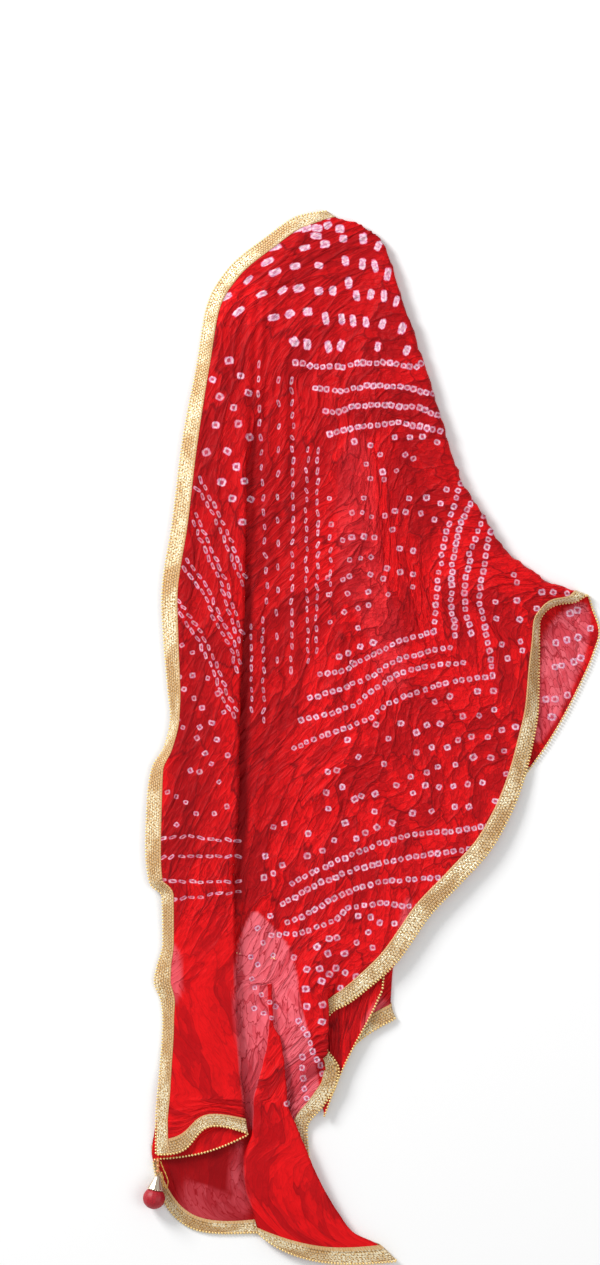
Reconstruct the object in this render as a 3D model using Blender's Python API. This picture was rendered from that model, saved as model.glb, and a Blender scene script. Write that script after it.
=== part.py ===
"""Tie-dyed dupatta with gold lace edges and one tassel, laid out on a flat surface.

The sheet starts at its back short end, lies face down on the surface, turns over a long
soft fold and comes back face up to its front short end. Lengthwise pleats run in both
layers. X runs across the sheet, Y towards the long fold and Z up; units are metres.
"""
import math

import bpy
import numpy as np

# Driving sizes
DRAPE_LENGTH = 1.460        # from the long fold's top to the lowest tip of the front end
CLOTH_THICKNESS = 0.0010
LACE_THICKNESS = 0.0010
SEAM_GAP = 0.0005            # between the cloth and the lace beside it
END_GAP_SHARE = 3.2         # the short ends' seam gap is wider, for their tight folds
BUD_RADIUS = 0.0152
CORD_RADIUS = 0.0012
LOOP_RADIUS = 0.0008

# Places are pixels of a 600 x 1265 picture plane, x to the right and y down
PICTURE_LENGTH = 1050.0     # the drape length in those pixels
PIXEL = DRAPE_LENGTH / PICTURE_LENGTH
CENTRE_X = 374.6
CENTRE_Y = 737.3

# Rows run along the sheet: -10 is the back end, 0 the long fold, 18 the front end.
# Rows -9 and 17 are the inner lines of the lace on the two short ends.
BACK_END, BACK_LACE, FOLD, FRONT_LACE, FRONT_END = -10.0, -9.0, 0.0, 17.0, 18.0

# Each line below runs lengthwise down the sheet: (row, x, y)
LEFT_EDGE = (
    (-10, 188, 946), (-9, 186, 930), (-8, 180, 880), (-7, 184, 780), (-6, 189, 660),
    (-5, 195, 545), (-4, 204, 440), (-3, 222, 335), (-2, 262, 274), (-1, 308, 233),
    (0, 327, 212), (1, 300, 217), (2, 266, 239), (3, 229, 270), (4, 209, 304),
    (5, 198, 366), (6, 184, 440), (7, 174, 520), (8, 163, 600), (8.5, 165, 640),
    (9, 169, 690), (9.3, 171.5, 717), (9.6, 165, 747), (9.8, 153, 768), (10, 149, 792),
    (10.6, 147, 850), (11, 151, 883), (11.2, 163, 895), (12, 164, 942), (12.6, 158, 967),
    (13, 155.5, 981), (13.6, 162.5, 1002), (14, 164, 1020), (15, 161.5, 1064),
    (16, 158.5, 1098), (16.5, 157, 1122), (17, 157, 1139), (18, 157, 1154),
)
MIDDLE_LINE = (
    (-10, 300, 962), (-9, 302, 946), (-8, 308, 898), (-7, 320, 800), (-6, 328, 695),
    (-5, 334, 592), (-4, 341, 500), (-3, 350, 405), (-2, 362, 328), (-1, 376, 281),
    (0, 388, 253), (1, 378, 268), (2, 366, 291), (3, 352, 325), (4, 340, 365),
    (5, 331, 412), (6, 322, 460), (7, 315, 535), (8, 310, 620), (9, 307, 708),
    (10, 303, 790), (11, 299, 867), (12, 296, 927), (13, 295, 977), (14, 297, 1018),
    (15, 302, 1050), (16, 297, 1082), (16.5, 278, 1142), (17, 289, 1202), (18, 292, 1220),
)
ARM_LINE = (
    (-10, 340, 990), (-9, 346, 975), (-8, 356, 925), (-7, 372, 815), (-6, 370, 715),
    (-5, 376, 630), (-4, 384, 555), (-3, 391, 485), (-2, 399, 425), (-1, 406, 378),
    (0, 419, 349), (1, 403, 357), (2, 390, 372), (3, 380, 398), (4, 373, 425),
    (5, 368, 458), (6, 363, 495), (7, 356, 556), (8, 350, 630), (9, 345, 710),
    (10, 340, 788), (11, 333, 861), (12, 323, 921), (13, 313, 972), (14, 316, 1013),
    (15, 318, 1044), (16, 307, 1074), (16.5, 281, 1140), (17, 292, 1202), (18, 295, 1219),
)
# In the front layer this is the outer fold of a small tuck near the right edge, and in the
# back layer the outer fold of a zigzag
TUCK_OUTER = (
    (-10, 395, 1018), (-9, 391, 1003), (-8.4, 393, 968), (-8, 412, 935), (-7, 444, 842),
    (-6.5, 438, 794), (-6, 434, 745), (-5, 438, 672), (-4, 445, 610), (-3, 451, 562),
    (-2, 457, 526), (-1, 460, 500), (0, 464, 487), (1, 446, 494), (2, 430, 505), (3, 416, 520),
    (4, 407, 538), (5, 401, 560), (6, 398, 586), (7, 392, 625), (8, 384, 676),
    (9, 376, 738), (10, 368, 802), (11, 356, 866), (12, 341, 925), (13, 328.5, 980),
    (14, 327.5, 1018), (15, 327, 1048), (16, 312, 1072), (16.5, 284, 1138),
    (17, 295, 1202), (18, 298, 1218),
)
TUCK_INNER = (
    (-10, 325, 1118), (-9, 321, 1092), (-8.7, 317, 1052), (-8.4, 314, 1010),
    (-8, 345, 950), (-7, 438, 850), (-6.5, 449, 808), (-6, 458, 772), (-5, 472, 712),
    (-4, 487, 652), (-3, 497, 607), (-2, 503, 581), (-1, 506, 563), (0, 508, 554),
    (1, 489, 560), (2, 467, 565),
    (3, 447, 572), (4, 437, 588), (5, 431, 608), (6, 427, 634), (7, 420, 668),
    (8, 409, 710), (9, 398, 763), (10, 386, 817), (11, 370, 874), (12, 350, 932),
    (12.5, 346, 959), (13, 335, 985), (13.5, 322, 1003), (14, 311, 1020),
    (14.5, 308.5, 1036), (15, 311, 1048), (15.5, 318, 1059), (16, 316, 1071), (16.5, 288, 1136), (17, 299, 1202), (18, 302, 1218),
)
RIGHT_EDGE = (
    (-10, 382, 990), (-9, 383.5, 974), (-8, 405, 945), (-7, 458, 862), (-6, 512, 790),
    (-5, 547, 743), (-4, 573, 697), (-3, 592, 655), (-2, 598.5, 632), (-1, 592, 610),
    (0, 586, 595), (1, 575, 601.5), (2, 558, 604), (3, 545.5, 611), (4, 539, 624),
    (5, 538.5, 655), (6, 537.5, 705), (7, 529.5, 753), (8, 516.6, 797), (9, 491, 847),
    (10, 460, 882), (11, 427, 917), (11.5, 412, 939), (12, 396, 961), (12.5, 371, 984),
    (13, 346, 1003), (13.4, 333, 1009.5), (13.7, 327, 1016), (14, 322, 1029),
    (14.5, 322, 1042), (15, 327, 1051), (15.5, 334, 1060), (16, 338, 1071),
    (16.12, 335, 1085), (16.28, 323, 1104), (16.5, 306, 1129), (16.75, 310, 1172),
    (17, 322, 1202), (18, 326, 1218),
)
# The pleat down the left of the front layer, its outer fold and the fold under it
PLEAT_OUTER = (
    (5, 250, 388), (6, 247, 440), (7, 245.5, 520), (8, 245, 605), (9, 240.5, 697),
    (10, 239.5, 790), (11, 234.5, 875), (12, 235, 930), (13, 236, 978), (14, 238, 1022),
    (15, 241, 1064), (16, 244.5, 1098), (16.5, 245.5, 1108), (17, 246.5, 1118.5),
    (18, 248.5, 1133.5),
)
PLEAT_INNER = (
    (5, 261, 391), (6, 252.5, 442), (6.5, 241, 480), (7, 226, 522), (8, 197, 607), (9, 189, 699),
    (10, 178, 790), (11, 177, 878), (12, 181, 932), (13, 179, 980), (14, 176, 1022),
    (15, 169, 1066), (16, 161, 1102), (16.5, 155.5, 1123), (17, 151.5, 1144),
    (18, 154.5, 1159),
)
# The cone-shaped box pleat of the front end: its two sides and the line where they meet
CONE_LEFT = (
    (13, 267, 985), (14, 268.5, 1021), (14.5, 267, 1040), (15, 263.5, 1061),
    (15.5, 259, 1079), (16, 254, 1100), (16.3, 252.5, 1132), (16.5, 242.5, 1160),
    (16.65, 243.5, 1185), (16.85, 251, 1208), (17, 257, 1226), (18, 259.5, 1232.5),
)
CONE_RIGHT = (
    (13, 272, 985), (14, 273.5, 1023), (14.5, 280, 1038), (15, 283, 1060),
    (15.5, 285, 1080), (16, 287, 1103), (16.15, 294, 1120), (16.35, 308, 1153),
    (16.5, 315, 1170), (16.7, 334, 1204), (16.85, 355, 1232), (17, 381, 1244),
    (18, 399, 1260.5),
)
CONE_UNDER = (
    (13, 269.5, 985), (14, 271, 1021), (15, 273, 1060), (16, 270, 1100),
    (16.5, 272, 1160), (17, 279, 1216), (18, 285, 1232),
)

# The lines between the folds have places of their own near the front end
STRIP_FIRST = ((16, 193, 1099), (16.5, 188, 1117), (17, 187, 1133), (18, 190, 1150))
STRIP_SECOND = ((16, 219, 1099), (16.5, 209, 1103), (17, 201, 1108), (18, 204, 1118))
PLEAT_MIDDLE = ((16, 203, 1100), (16.5, 201, 1118), (17, 200, 1139), (18, 206, 1155))
BASE_FIRST = ((16, 188, 1104), (16.5, 174, 1150), (17, 168, 1194), (18, 161, 1205))
BASE_SECOND = ((16, 215, 1104), (16.5, 203, 1162), (17, 193.5, 1220), (18, 192, 1234))
BASE_THIRD = ((16, 243, 1103), (16.5, 240, 1163), (17, 238, 1222), (18, 240, 1233))
CONE_FIRST = ((16, 264, 1101), (16.5, 265, 1162), (17, 284, 1238), (18, 280, 1251))
CONE_SECOND = ((16, 275.5, 1102), (16.5, 290, 1166), (17, 330, 1249), (18, 330, 1266))

# The back end's zigzag has lines of its own in its two upper layers
ZIGZAG_MIDDLE = ((-10, 341, 1046), (-9, 335, 1031), (-8.4, 346, 993), (-8, 378, 946))
ZIGZAG_LAST = ((-10, 343, 1064), (-9, 336, 1050), (-8.4, 348, 990), (-8, 372, 946))

# Where a line has no fold it lies at this share of the way between two of the lines above
LEFT_SHARES = {"pleat_outer": 0.30, "pleat_inner": 0.40, "cone_under_left": 0.58,
               "cone_left": 0.66, "cone_right": 0.76, "cone_under_right": 0.86}
SHOULDER_BOW = 9.0          # how far the long fold bows out along its upper half
FOLD_LIP = 1.6              # how far a fold's control points stand beyond its line
UNDER_FOLD_GAP = 2.6        # half the slit between the cone's two hidden folds
LAST_REACH = 20.0           # pixels from the right lace to the line beside it
ARM_SAG = 10.0              # how far the long fold sags along its lower half
BACK_CORNER = -8.2          # behind this row the lace's inner line follows the back end

# Heights of the sheet's middle surface in millimetres, (row, height)
BACK_HEIGHT = ((-10, 0.5), (FOLD, 0.5))
FRONT_HEIGHT_LEFT = ((0, 12), (1, 12), (3, 9), (10, 8.5), (11, 7.5), (12, 4), (13, 2),
                     (14, 1.4), (18, 1.2))
FRONT_HEIGHT_MIDDLE = ((0, 14), (1, 13), (3, 9), (11, 9), (12, 11), (13, 14), (13.6, 17),
                       (14, 18), (14.5, 16), (15, 11), (15.5, 6), (16, 3.5), (16.5, 2),
                       (18, 1.2))
FRONT_HEIGHT_RIGHT = ((0, 15), (1, 18), (3, 18), (5, 13), (7, 11), (9, 14), (11, 15),
                      (15, 14.5), (16, 13.5), (16.3, 11), (16.5, 5), (16.75, 2), (17, 1.2),
                      (18, 1.2))
PLEAT_RISE = ((3.4, 0), (5, 3), (5.8, 5.5), (18, 5.5))
CONE_RISE = ((12.4, 0), (13.6, 4.8), (15, 6), (16, 8), (16.5, 8), (16.8, 6), (17, 5),
             (18, 4.4))
TUCK_RISE = ((12.1, 0), (12.9, 4.2), (15.5, 4.2), (16.1, 0))
ZIGZAG_RISE = ((-10, 5.2), (-8.6, 4.6), (-6.6, 4.6), (-5.6, 0))
FOLD_TURN = 0.36            # rows on each side of the long fold that make its round edge

# How far the lace's inner line lies from the edge in the picture plane, and how far the
# edge hangs below it: (row, pixels, millimetres)
LEFT_LACE = (
    (-10, 15.8, 0), (-1, 15.8, 0), (0, 11, 3), (1, 12, 7), (3, 12, 7), (5, 11, 7),
    (6, 13.5, 9), (8, 13, 10), (9, 10, 11), (9.3, 6, 11), (9.6, 5, 12), (10, 11, 11),
    (10.6, 12, 9), (11.2, 9, 9), (12, 8, 9), (13, 14, 8), (13.6, 11, 9), (14, 8, 9),
    (15, 8, 7), (15.6, 8, 4), (16, 8, 3), (17, 9, 3), (18, 12, 3),
)
RIGHT_LACE = (
    (-10, 15.8, 0), (-4, 15.8, 0), (-2, 13, 1.5), (-1, 9, 3), (0, 7, 3), (1, 4, 10),
    (3.3, 3, 13), (4.5, 4.5, 12), (5.5, 9, 10), (7, 14, 5), (9, 15.5, 1.5),
    (13, 15.8, 1), (14, 8, 0.6), (15, 8, 0.6), (16, 15.8, 0.6), (18, 15.8, 0),
)

# Soft lengthwise gathers shared by every layer that lies at one place, so that stacked
# layers stay apart. The fan gives the drape's sides at each height: (y, left, right)
FAN = ((205, 318, 345), (300, 206, 405), (400, 192, 436), (500, 175, 470), (600, 165, 560),
       (700, 168, 540), (800, 150, 516), (900, 158, 440), (1000, 160, 350),
       (1100, 158, 330), (1270, 160, 330))
# (ridge, share of the way across, half width as a share, height in millimetres)
GATHERS = (
    ("strip inner", 0.075, 0.030, 1.2), ("strip middle", 0.130, 0.026, 1.0),
    ("first", 0.245, 0.020, 2.6), ("second", 0.292, 0.019, 3.4), ("third", 0.340, 0.021, 3.0),
    ("fourth", 0.392, 0.023, 2.4), ("fifth", 0.455, 0.030, 1.5), ("arm", 0.610, 0.050, 1.1),
    ("outer arm", 0.760, 0.055, 1.0),
)
GATHER_SWAY = 0.012
# (y, how strong the gathers are there)
GATHER_STRENGTH = ((215, 0.5), (330, 0.8), (450, 1.0), (880, 1.0), (960, 0.55), (1040, 0.2),
                   (1270, 0.35))

CLOTH_ROWS_PER_STEP = {"back": 1.5, "front": 1.9, "end": 3.0}

CLOTH_RED = (0.62, 0.012, 0.018)
LACE_GOLD = (0.62, 0.40, 0.14)
BUD_RED = (0.60, 0.010, 0.040)
CAP_SILVER = (0.80, 0.76, 0.68)


def smoothstep(value):
    value = np.clip(value, 0.0, 1.0)
    return value * value * (3.0 - 2.0 * value)


def steady_slopes(knots, values):
    """Slopes for a curve that never overshoots its own points."""
    steps = np.diff(knots)
    rates = np.diff(values) / steps
    slopes = np.zeros(len(knots))
    slopes[0], slopes[-1] = rates[0], rates[-1]
    same_way = rates[:-1] * rates[1:] > 0.0
    left_weight = 2.0 * steps[1:] + steps[:-1]
    right_weight = steps[1:] + 2.0 * steps[:-1]
    safe_left = np.where(same_way, rates[:-1], 1.0)
    safe_right = np.where(same_way, rates[1:], 1.0)
    mean = (left_weight + right_weight) / (left_weight / safe_left + right_weight / safe_right)
    slopes[1:-1] = np.where(same_way, mean, 0.0)
    return slopes


def read_table(table, rows, column=1):
    """Smooth value of a table's column at each of the rows."""
    knots = np.array([entry[0] for entry in table], float)
    values = np.array([entry[column] for entry in table], float)
    slopes = steady_slopes(knots, values)
    rows = np.clip(rows, knots[0], knots[-1])
    index = np.clip(np.searchsorted(knots, rows, side="right") - 1, 0, len(knots) - 2)
    step = knots[index + 1] - knots[index]
    part = (rows - knots[index]) / step
    return ((2 * part**3 - 3 * part**2 + 1) * values[index]
            + (part**3 - 2 * part**2 + part) * step * slopes[index]
            + (3 * part**2 - 2 * part**3) * values[index + 1]
            + (part**3 - part**2) * step * slopes[index + 1])


def line_points(table, rows):
    return np.stack([read_table(table, rows, 1), read_table(table, rows, 2)], axis=-1)


def mix(first, second, share):
    share = np.asarray(share, float)
    if share.ndim == 1:
        share = share[:, None]
    return first + (second - first) * share


def with_fold(table, rows, plain):
    """A fold line where its table runs, easing from the plain place before it."""
    start = table[0][0]
    blend = smoothstep(rows - start + 1.0)
    return mix(plain, line_points(table, np.maximum(rows, start)), blend)


def inner_line(edge_table, lace_table, beside_table, rows, inward_sign):
    """The lace's inner line, square to the edge, or along the long fold beside it."""
    edge = line_points(edge_table, rows)
    small = 0.02
    ahead = line_points(edge_table, np.minimum(rows + small, FRONT_END))
    behind = line_points(edge_table, np.maximum(rows - small, BACK_END))
    run = (ahead - behind) * np.where(rows < FOLD, -1.0, 1.0)[:, None]
    run /= np.linalg.norm(run, axis=1, keepdims=True) + 1e-9
    normal = np.stack([run[:, 1], -run[:, 0]], axis=-1) * inward_sign
    beside = line_points(beside_table, rows) - edge
    beside /= np.linalg.norm(beside, axis=1, keepdims=True)
    near_fold = smoothstep(1.6 - 1.6 * np.abs(rows))[:, None]
    normal = normal * (1.0 - near_fold) + beside * near_fold
    square = np.maximum(np.sum(normal * beside, axis=1, keepdims=True), 0.5)
    near_end = smoothstep((BACK_CORNER - rows) / 0.6)[:, None]
    normal = normal * (1.0 - near_end) + beside / square * near_end
    return edge + normal * read_table(lace_table, rows, 1)[:, None]


def control_net(rows):
    """Control points of the sheet, one line of them for each row."""
    left = line_points(LEFT_EDGE, rows)
    right = line_points(RIGHT_EDGE, rows)
    middle = line_points(MIDDLE_LINE, rows)
    arm = line_points(ARM_LINE, rows)
    tuck_outer = line_points(TUCK_OUTER, rows)
    tuck_inner = line_points(TUCK_INNER, rows)
    left_inner = inner_line(LEFT_EDGE, LEFT_LACE, MIDDLE_LINE, rows, 1.0)
    right_inner = inner_line(RIGHT_EDGE, RIGHT_LACE, TUCK_INNER, rows, -1.0)
    bow = SHOULDER_BOW * smoothstep(1.0 - np.abs(rows) / 1.6)

    def between(share):
        place = mix(left_inner, middle, share)
        lift = bow * 4.0 * share * (1.0 - share)
        return place + np.stack([0.45 * lift, -0.9 * lift], axis=-1)

    plain = {name: between(share) for name, share in LEFT_SHARES.items()}
    pleat_outer = with_fold(PLEAT_OUTER, rows, plain["pleat_outer"])
    pleat_inner = with_fold(PLEAT_INNER, rows, plain["pleat_inner"])
    cone_left = with_fold(CONE_LEFT, rows, plain["cone_left"])
    cone_right = with_fold(CONE_RIGHT, rows, plain["cone_right"])
    gap = np.array([UNDER_FOLD_GAP, 0.0])
    under = CONE_UNDER
    cone_under_left = with_fold(under, rows, plain["cone_under_left"] + gap) - gap
    cone_under_right = with_fold(under, rows, plain["cone_under_right"] - gap) + gap

    back = BACK_HEIGHT[0][1]
    turn = smoothstep((rows + FOLD_TURN) / (2.0 * FOLD_TURN))

    def front(table):
        return back + (read_table(table, rows) - back) * turn

    low = front(FRONT_HEIGHT_LEFT)
    mid = front(FRONT_HEIGHT_MIDDLE)
    outer = front(FRONT_HEIGHT_RIGHT)
    pleat = read_table(PLEAT_RISE, rows)
    cone = read_table(CONE_RISE, rows)
    tuck = read_table(TUCK_RISE, rows)
    zigzag = read_table(ZIGZAG_RISE, rows)
    at_back = rows < FOLD
    tuck_top = np.where(at_back, outer, outer + 2.0 * tuck)
    tuck_mid = np.where(at_back, outer + zigzag, outer + tuck)
    tuck_low = np.where(at_back, outer + 2.0 * zigzag, outer)
    strip = low + 2.0 * pleat
    left_drop = np.minimum(read_table(LEFT_LACE, rows, 2), strip - back)
    right_drop = np.minimum(read_table(RIGHT_LACE, rows, 2), tuck_low - back)

    def fold_pair(line, other, side, first_height, second_height):
        """Two control points of a fold. Side is 1 for a fold on the right."""
        folded = smoothstep(np.abs(line[:, 0] - other[:, 0]) / 9.0)
        folded = np.where((line[:, 0] - other[:, 0]) * side > 0.0, folded, 0.0)
        lip = FOLD_LIP * np.clip(np.abs(line[:, 0] - other[:, 0]) / 7.0, 0.2, 1.0)
        lead = np.where(side > 0, 2.0 * folded - 1.0, -1.0) * lip
        trail = np.where(side > 0, 1.0, 1.0 - 2.0 * folded) * lip
        first = np.column_stack([line[:, 0] + lead, line[:, 1], first_height])
        second = np.column_stack([line[:, 0] + trail, line[:, 1], second_height])
        return [first, second]

    def single(place, height):
        return [np.column_stack([place, height])]

    end_share = smoothstep(rows - 15.0)

    def towards(place, table):
        """Ease a line to its own places near the front end."""
        return mix(place, line_points(table, np.maximum(rows, table[0][0])), end_share)

    strip_one = towards(mix(left_inner, pleat_outer, 0.30), STRIP_FIRST)
    strip_two = towards(mix(left_inner, pleat_outer, 0.62), STRIP_SECOND)
    pleat_middle = towards(mix(pleat_outer, pleat_inner, 0.5), PLEAT_MIDDLE)
    base_one = towards(mix(pleat_inner, cone_under_left, 0.25), BASE_FIRST)
    base_two = towards(mix(pleat_inner, cone_under_left, 0.5), BASE_SECOND)
    base_three = towards(mix(pleat_inner, cone_under_left, 0.75), BASE_THIRD)
    cone_one = towards(mix(cone_left, cone_right, 0.33), CONE_FIRST)
    cone_two = towards(mix(cone_left, cone_right, 0.67), CONE_SECOND)
    zig_share = smoothstep((-7.5 - rows) / 0.9)
    zig_two = mix(mix(tuck_outer, tuck_inner, 0.5), line_points(ZIGZAG_MIDDLE, rows), zig_share)
    reach = np.linalg.norm(tuck_inner - right_inner, axis=1)
    last_share = np.minimum(0.5, LAST_REACH / np.maximum(reach, 1.0))
    last_share += (0.5 - last_share) * smoothstep((3.2 - np.abs(rows)) / 2.2)
    last_share = last_share[:, None]
    last_line = right_inner + (tuck_inner - right_inner) * last_share
    last_line[:, 1] += ARM_SAG * smoothstep(1.0 - np.abs(rows) / 3.0)
    last_line = mix(last_line, line_points(ZIGZAG_LAST, rows), zig_share)
    flat_end = smoothstep((rows - 15.85) / 0.45)

    def sink(height, share):
        """Bring a height down towards the fan's own near the front end."""
        return height + (mid + (outer - mid) * share - height) * flat_end

    net = []
    net += single(left, strip - left_drop)
    net += single(mix(left, left_inner, 0.45), strip - 0.45 * left_drop)
    net += single(left_inner, strip)
    net += single(strip_one, strip)
    net += single(strip_two, strip)
    net += fold_pair(pleat_outer, pleat_inner, 1, strip, low + pleat)
    net += single(pleat_middle, low + pleat)
    net += fold_pair(pleat_inner, pleat_outer, -1, low + pleat, low)
    net += single(base_one, low)
    net += single(base_two, low)
    net += single(base_three, low)
    net += fold_pair(cone_under_left, cone_left, 1, low, low + cone)
    net += fold_pair(cone_left, cone_under_left, -1, low + cone, low + 2.0 * cone)
    net += single(cone_one, low + 2.0 * cone)
    net += single(cone_two, low + 2.0 * cone)
    net += fold_pair(cone_right, cone_under_right, 1, low + 2.0 * cone, low + cone)
    net += fold_pair(cone_under_right, cone_right, -1, low + cone, low)
    net += single(middle, mid)
    net += single(mix(middle, arm, 0.5), sink(mid + (tuck_top - mid) * 0.85, 0.1))
    net += single(arm, sink(tuck_top, 0.2))
    net += single(mix(arm, tuck_outer, 0.5), sink(tuck_top, 0.3))
    net += fold_pair(tuck_outer, tuck_inner, 1, sink(tuck_top, 0.4), sink(tuck_mid, 0.4))
    net += single(zig_two, sink(tuck_mid, 0.5))
    net += fold_pair(tuck_inner, tuck_outer, -1, sink(tuck_mid, 0.5), sink(tuck_low, 0.5))
    net += single(last_line, sink(tuck_low, 0.75))
    net += single(right_inner, tuck_low)
    net += single(mix(right, right_inner, 0.45), tuck_low - 0.55 * right_drop)
    net += single(right, tuck_low - right_drop)
    return np.stack(net, axis=1)


def spline_weights(places, count):
    """Weights of a clamped cubic spline's control points at each place across."""
    spans = count - 3
    knots = np.concatenate([np.zeros(3), np.arange(spans + 1), np.full(3, spans)]).astype(float)
    places = np.clip(places, 0.0, spans - 1e-9)
    weights = np.zeros((len(places), len(knots) - 1))
    weights[np.arange(len(places)), np.searchsorted(knots, places, side="right") - 1] = 1.0
    for degree in range(1, 4):
        raised = np.zeros((len(places), weights.shape[1] - 1))
        for index in range(raised.shape[1]):
            before = knots[index + degree] - knots[index]
            after = knots[index + degree + 1] - knots[index + 1]
            if before > 0.0:
                raised[:, index] += (places - knots[index]) / before * weights[:, index]
            if after > 0.0:
                share = (knots[index + degree + 1] - places) / after
                raised[:, index] += share * weights[:, index + 1]
        weights = raised
    return weights


def gathers(x, y):
    """Height in millimetres that the lengthwise gathers add at a place of the picture."""
    left = read_table(FAN, y.ravel(), 1).reshape(y.shape)
    right = read_table(FAN, y.ravel(), 2).reshape(y.shape)
    share = (x - left) / (right - left)
    share = share + GATHER_SWAY * np.sin(y / 61.0 + 2.0 * np.sin(y / 143.0))
    height = np.zeros_like(x)
    for number, (_name, centre, half_width, rise) in enumerate(GATHERS):
        swell = 0.75 + 0.25 * np.sin(y / 87.0 + 1.7 * number)
        height += rise * swell * np.exp(-((share - centre) / half_width) ** 2)
    return height * read_table(GATHER_STRENGTH, y.ravel(), 1).reshape(y.shape)


def sheet_points(rows, places):
    """Points of the sheet's middle surface in metres, for rows and places across."""
    rows = np.asarray(rows, float)
    net = control_net(rows)
    weights = spline_weights(np.asarray(places, float), net.shape[1])
    points = np.einsum("pc,rck->rpk", weights, net)
    turn = smoothstep((rows + FOLD_TURN) / (2.0 * FOLD_TURN))[:, None]
    height = points[..., 2] + gathers(points[..., 0], points[..., 1]) * turn
    return np.stack([(points[..., 0] - CENTRE_X) * PIXEL,
                     (CENTRE_Y - points[..., 1]) * PIXEL,
                     height * 0.001], axis=-1)


LAST_PLACE = 33.0           # spans of the spline across, which has 36 control points
LACE_PLACE = 1.0            # where the lace ends and the cloth starts, counted from an edge


def steps_between(first, last, count):
    return [first + (last - first) * index / count for index in range(count + 1)]


def fold_steps(first, last):
    """Places across that round one fold."""
    return [first + share * (last - first) for share in (0.0, 0.3, 0.5, 0.7, 1.0)]


def join_steps(*stretches):
    joined = list(stretches[0])
    for stretch in stretches[1:]:
        joined += stretch[1:]
    return joined


def sheet_normals(rows, places):
    """Direction out of the wrong side at each row and place, both given as grids."""
    small = 0.02
    near, far = np.clip(rows - small, -10, 18), np.clip(rows + small, -10, 18)
    left, right = np.clip(places - small, 0, LAST_PLACE), np.clip(places + small, 0, LAST_PLACE)
    along = grid_points(far, places) - grid_points(near, places)
    across = grid_points(rows, right) - grid_points(rows, left)
    normal = np.cross(along, across)
    return -normal / (np.linalg.norm(normal, axis=-1, keepdims=True) + 1e-12)


def grid_points(rows, places):
    """Points of the sheet where each row may have places of its own."""
    shape = rows.shape
    net = control_net(rows.ravel())
    weights = spline_weights(places.ravel(), net.shape[1])
    points = np.einsum("nc,nck->nk", weights, net)
    turn = smoothstep((rows.ravel() + FOLD_TURN) / (2.0 * FOLD_TURN))
    height = points[:, 2] + gathers(points[:, 0], points[:, 1]) * turn
    placed = np.stack([(points[:, 0] - CENTRE_X) * PIXEL, (CENTRE_Y - points[:, 1]) * PIXEL,
                       height * 0.001], axis=-1)
    return placed.reshape(*shape, 3)


def bend_limit(rows, places, half):
    """Half the thickness, less where a fold turns too sharply for it."""
    small = 0.06
    left, right = np.clip(places - small, 0, LAST_PLACE), np.clip(places + small, 0, LAST_PLACE)
    near, far = np.clip(rows - small, -10, 18), np.clip(rows + small, -10, 18)
    limit = half
    for first, last in (((rows, left), (rows, right)), ((near, places), (far, places))):
        turn = np.linalg.norm(sheet_normals(*last) - sheet_normals(*first), axis=-1)
        run = np.linalg.norm(grid_points(*last) - grid_points(*first), axis=-1)
        limit = np.minimum(limit, 0.4 * run / np.maximum(turn, 1e-6))
    return np.maximum(limit, 0.0001)


def make_sheet(name, rows, places, thickness, colour, metallic, roughness):
    """A closed sheet of even thickness over a grid of rows and places."""
    middle = grid_points(rows, places)
    half = bend_limit(rows, places, thickness / 2.0)
    offset = sheet_normals(rows, places) * half[..., None]
    height, width = rows.shape
    points = np.concatenate([(middle + offset).reshape(-1, 3), (middle - offset).reshape(-1, 3)])
    points[:, 2] = np.maximum(points[:, 2], 0.0)
    count = height * width
    faces = []
    for row in range(height - 1):
        for column in range(width - 1):
            first = row * width + column
            for corner in ((first, first + width, first + width + 1),
                           (first, first + width + 1, first + 1)):
                faces.append(tuple(reversed(corner)))
                faces.append(tuple(index + count for index in corner))
    rim = [column for column in range(width)]
    rim += [row * width + width - 1 for row in range(1, height)]
    rim += [(height - 1) * width + column for column in range(width - 2, -1, -1)]
    rim += [row * width for row in range(height - 2, 0, -1)]
    for index, first in enumerate(rim):
        after = rim[(index + 1) % len(rim)]
        faces.append((after, first, first + count, after + count))
    return add_body(name, [tuple(point) for point in points], faces, colour, metallic,
                    roughness)


def finish(piece, colour, metallic, roughness):
    material = bpy.data.materials.new(piece.name)
    material.use_nodes = True
    shader = material.node_tree.nodes["Principled BSDF"]
    shader.inputs["Base Color"].default_value = (*colour, 1.0)
    shader.inputs["Metallic"].default_value = metallic
    shader.inputs["Roughness"].default_value = roughness
    piece.data.materials.append(material)


def seam_step(rows, places, row_step, place_step):
    """The part of a step between two places of the sheet that opens the seam gap."""
    length = []
    for row, place in zip(rows, places):
        here = sheet_points([row], [place])[0, 0]
        there = sheet_points([row + row_step], [place + place_step])[0, 0]
        length.append(np.linalg.norm(there - here))
    return SEAM_GAP / np.array(length)


def side_lace(name, edge, inner, along):
    """Lace strip along a long edge, between two places across the sheet."""
    rows = np.array(join_steps(steps_between(BACK_END, BACK_LACE, 2), along,
                               steps_between(FRONT_LACE, FRONT_END, 3)))
    towards = 0.2 * (edge - inner)
    share = seam_step(rows, np.full(len(rows), inner), 0.0, towards)
    starts = inner + towards * share
    places = np.stack([edge + (starts - edge) * index / 2 for index in range(3)], axis=1)
    places = np.sort(places, axis=1)
    row_grid = np.repeat(rows[:, None], 3, axis=1)
    make_sheet(name, row_grid, places, LACE_THICKNESS, LACE_GOLD, 0.4, 0.45)


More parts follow.
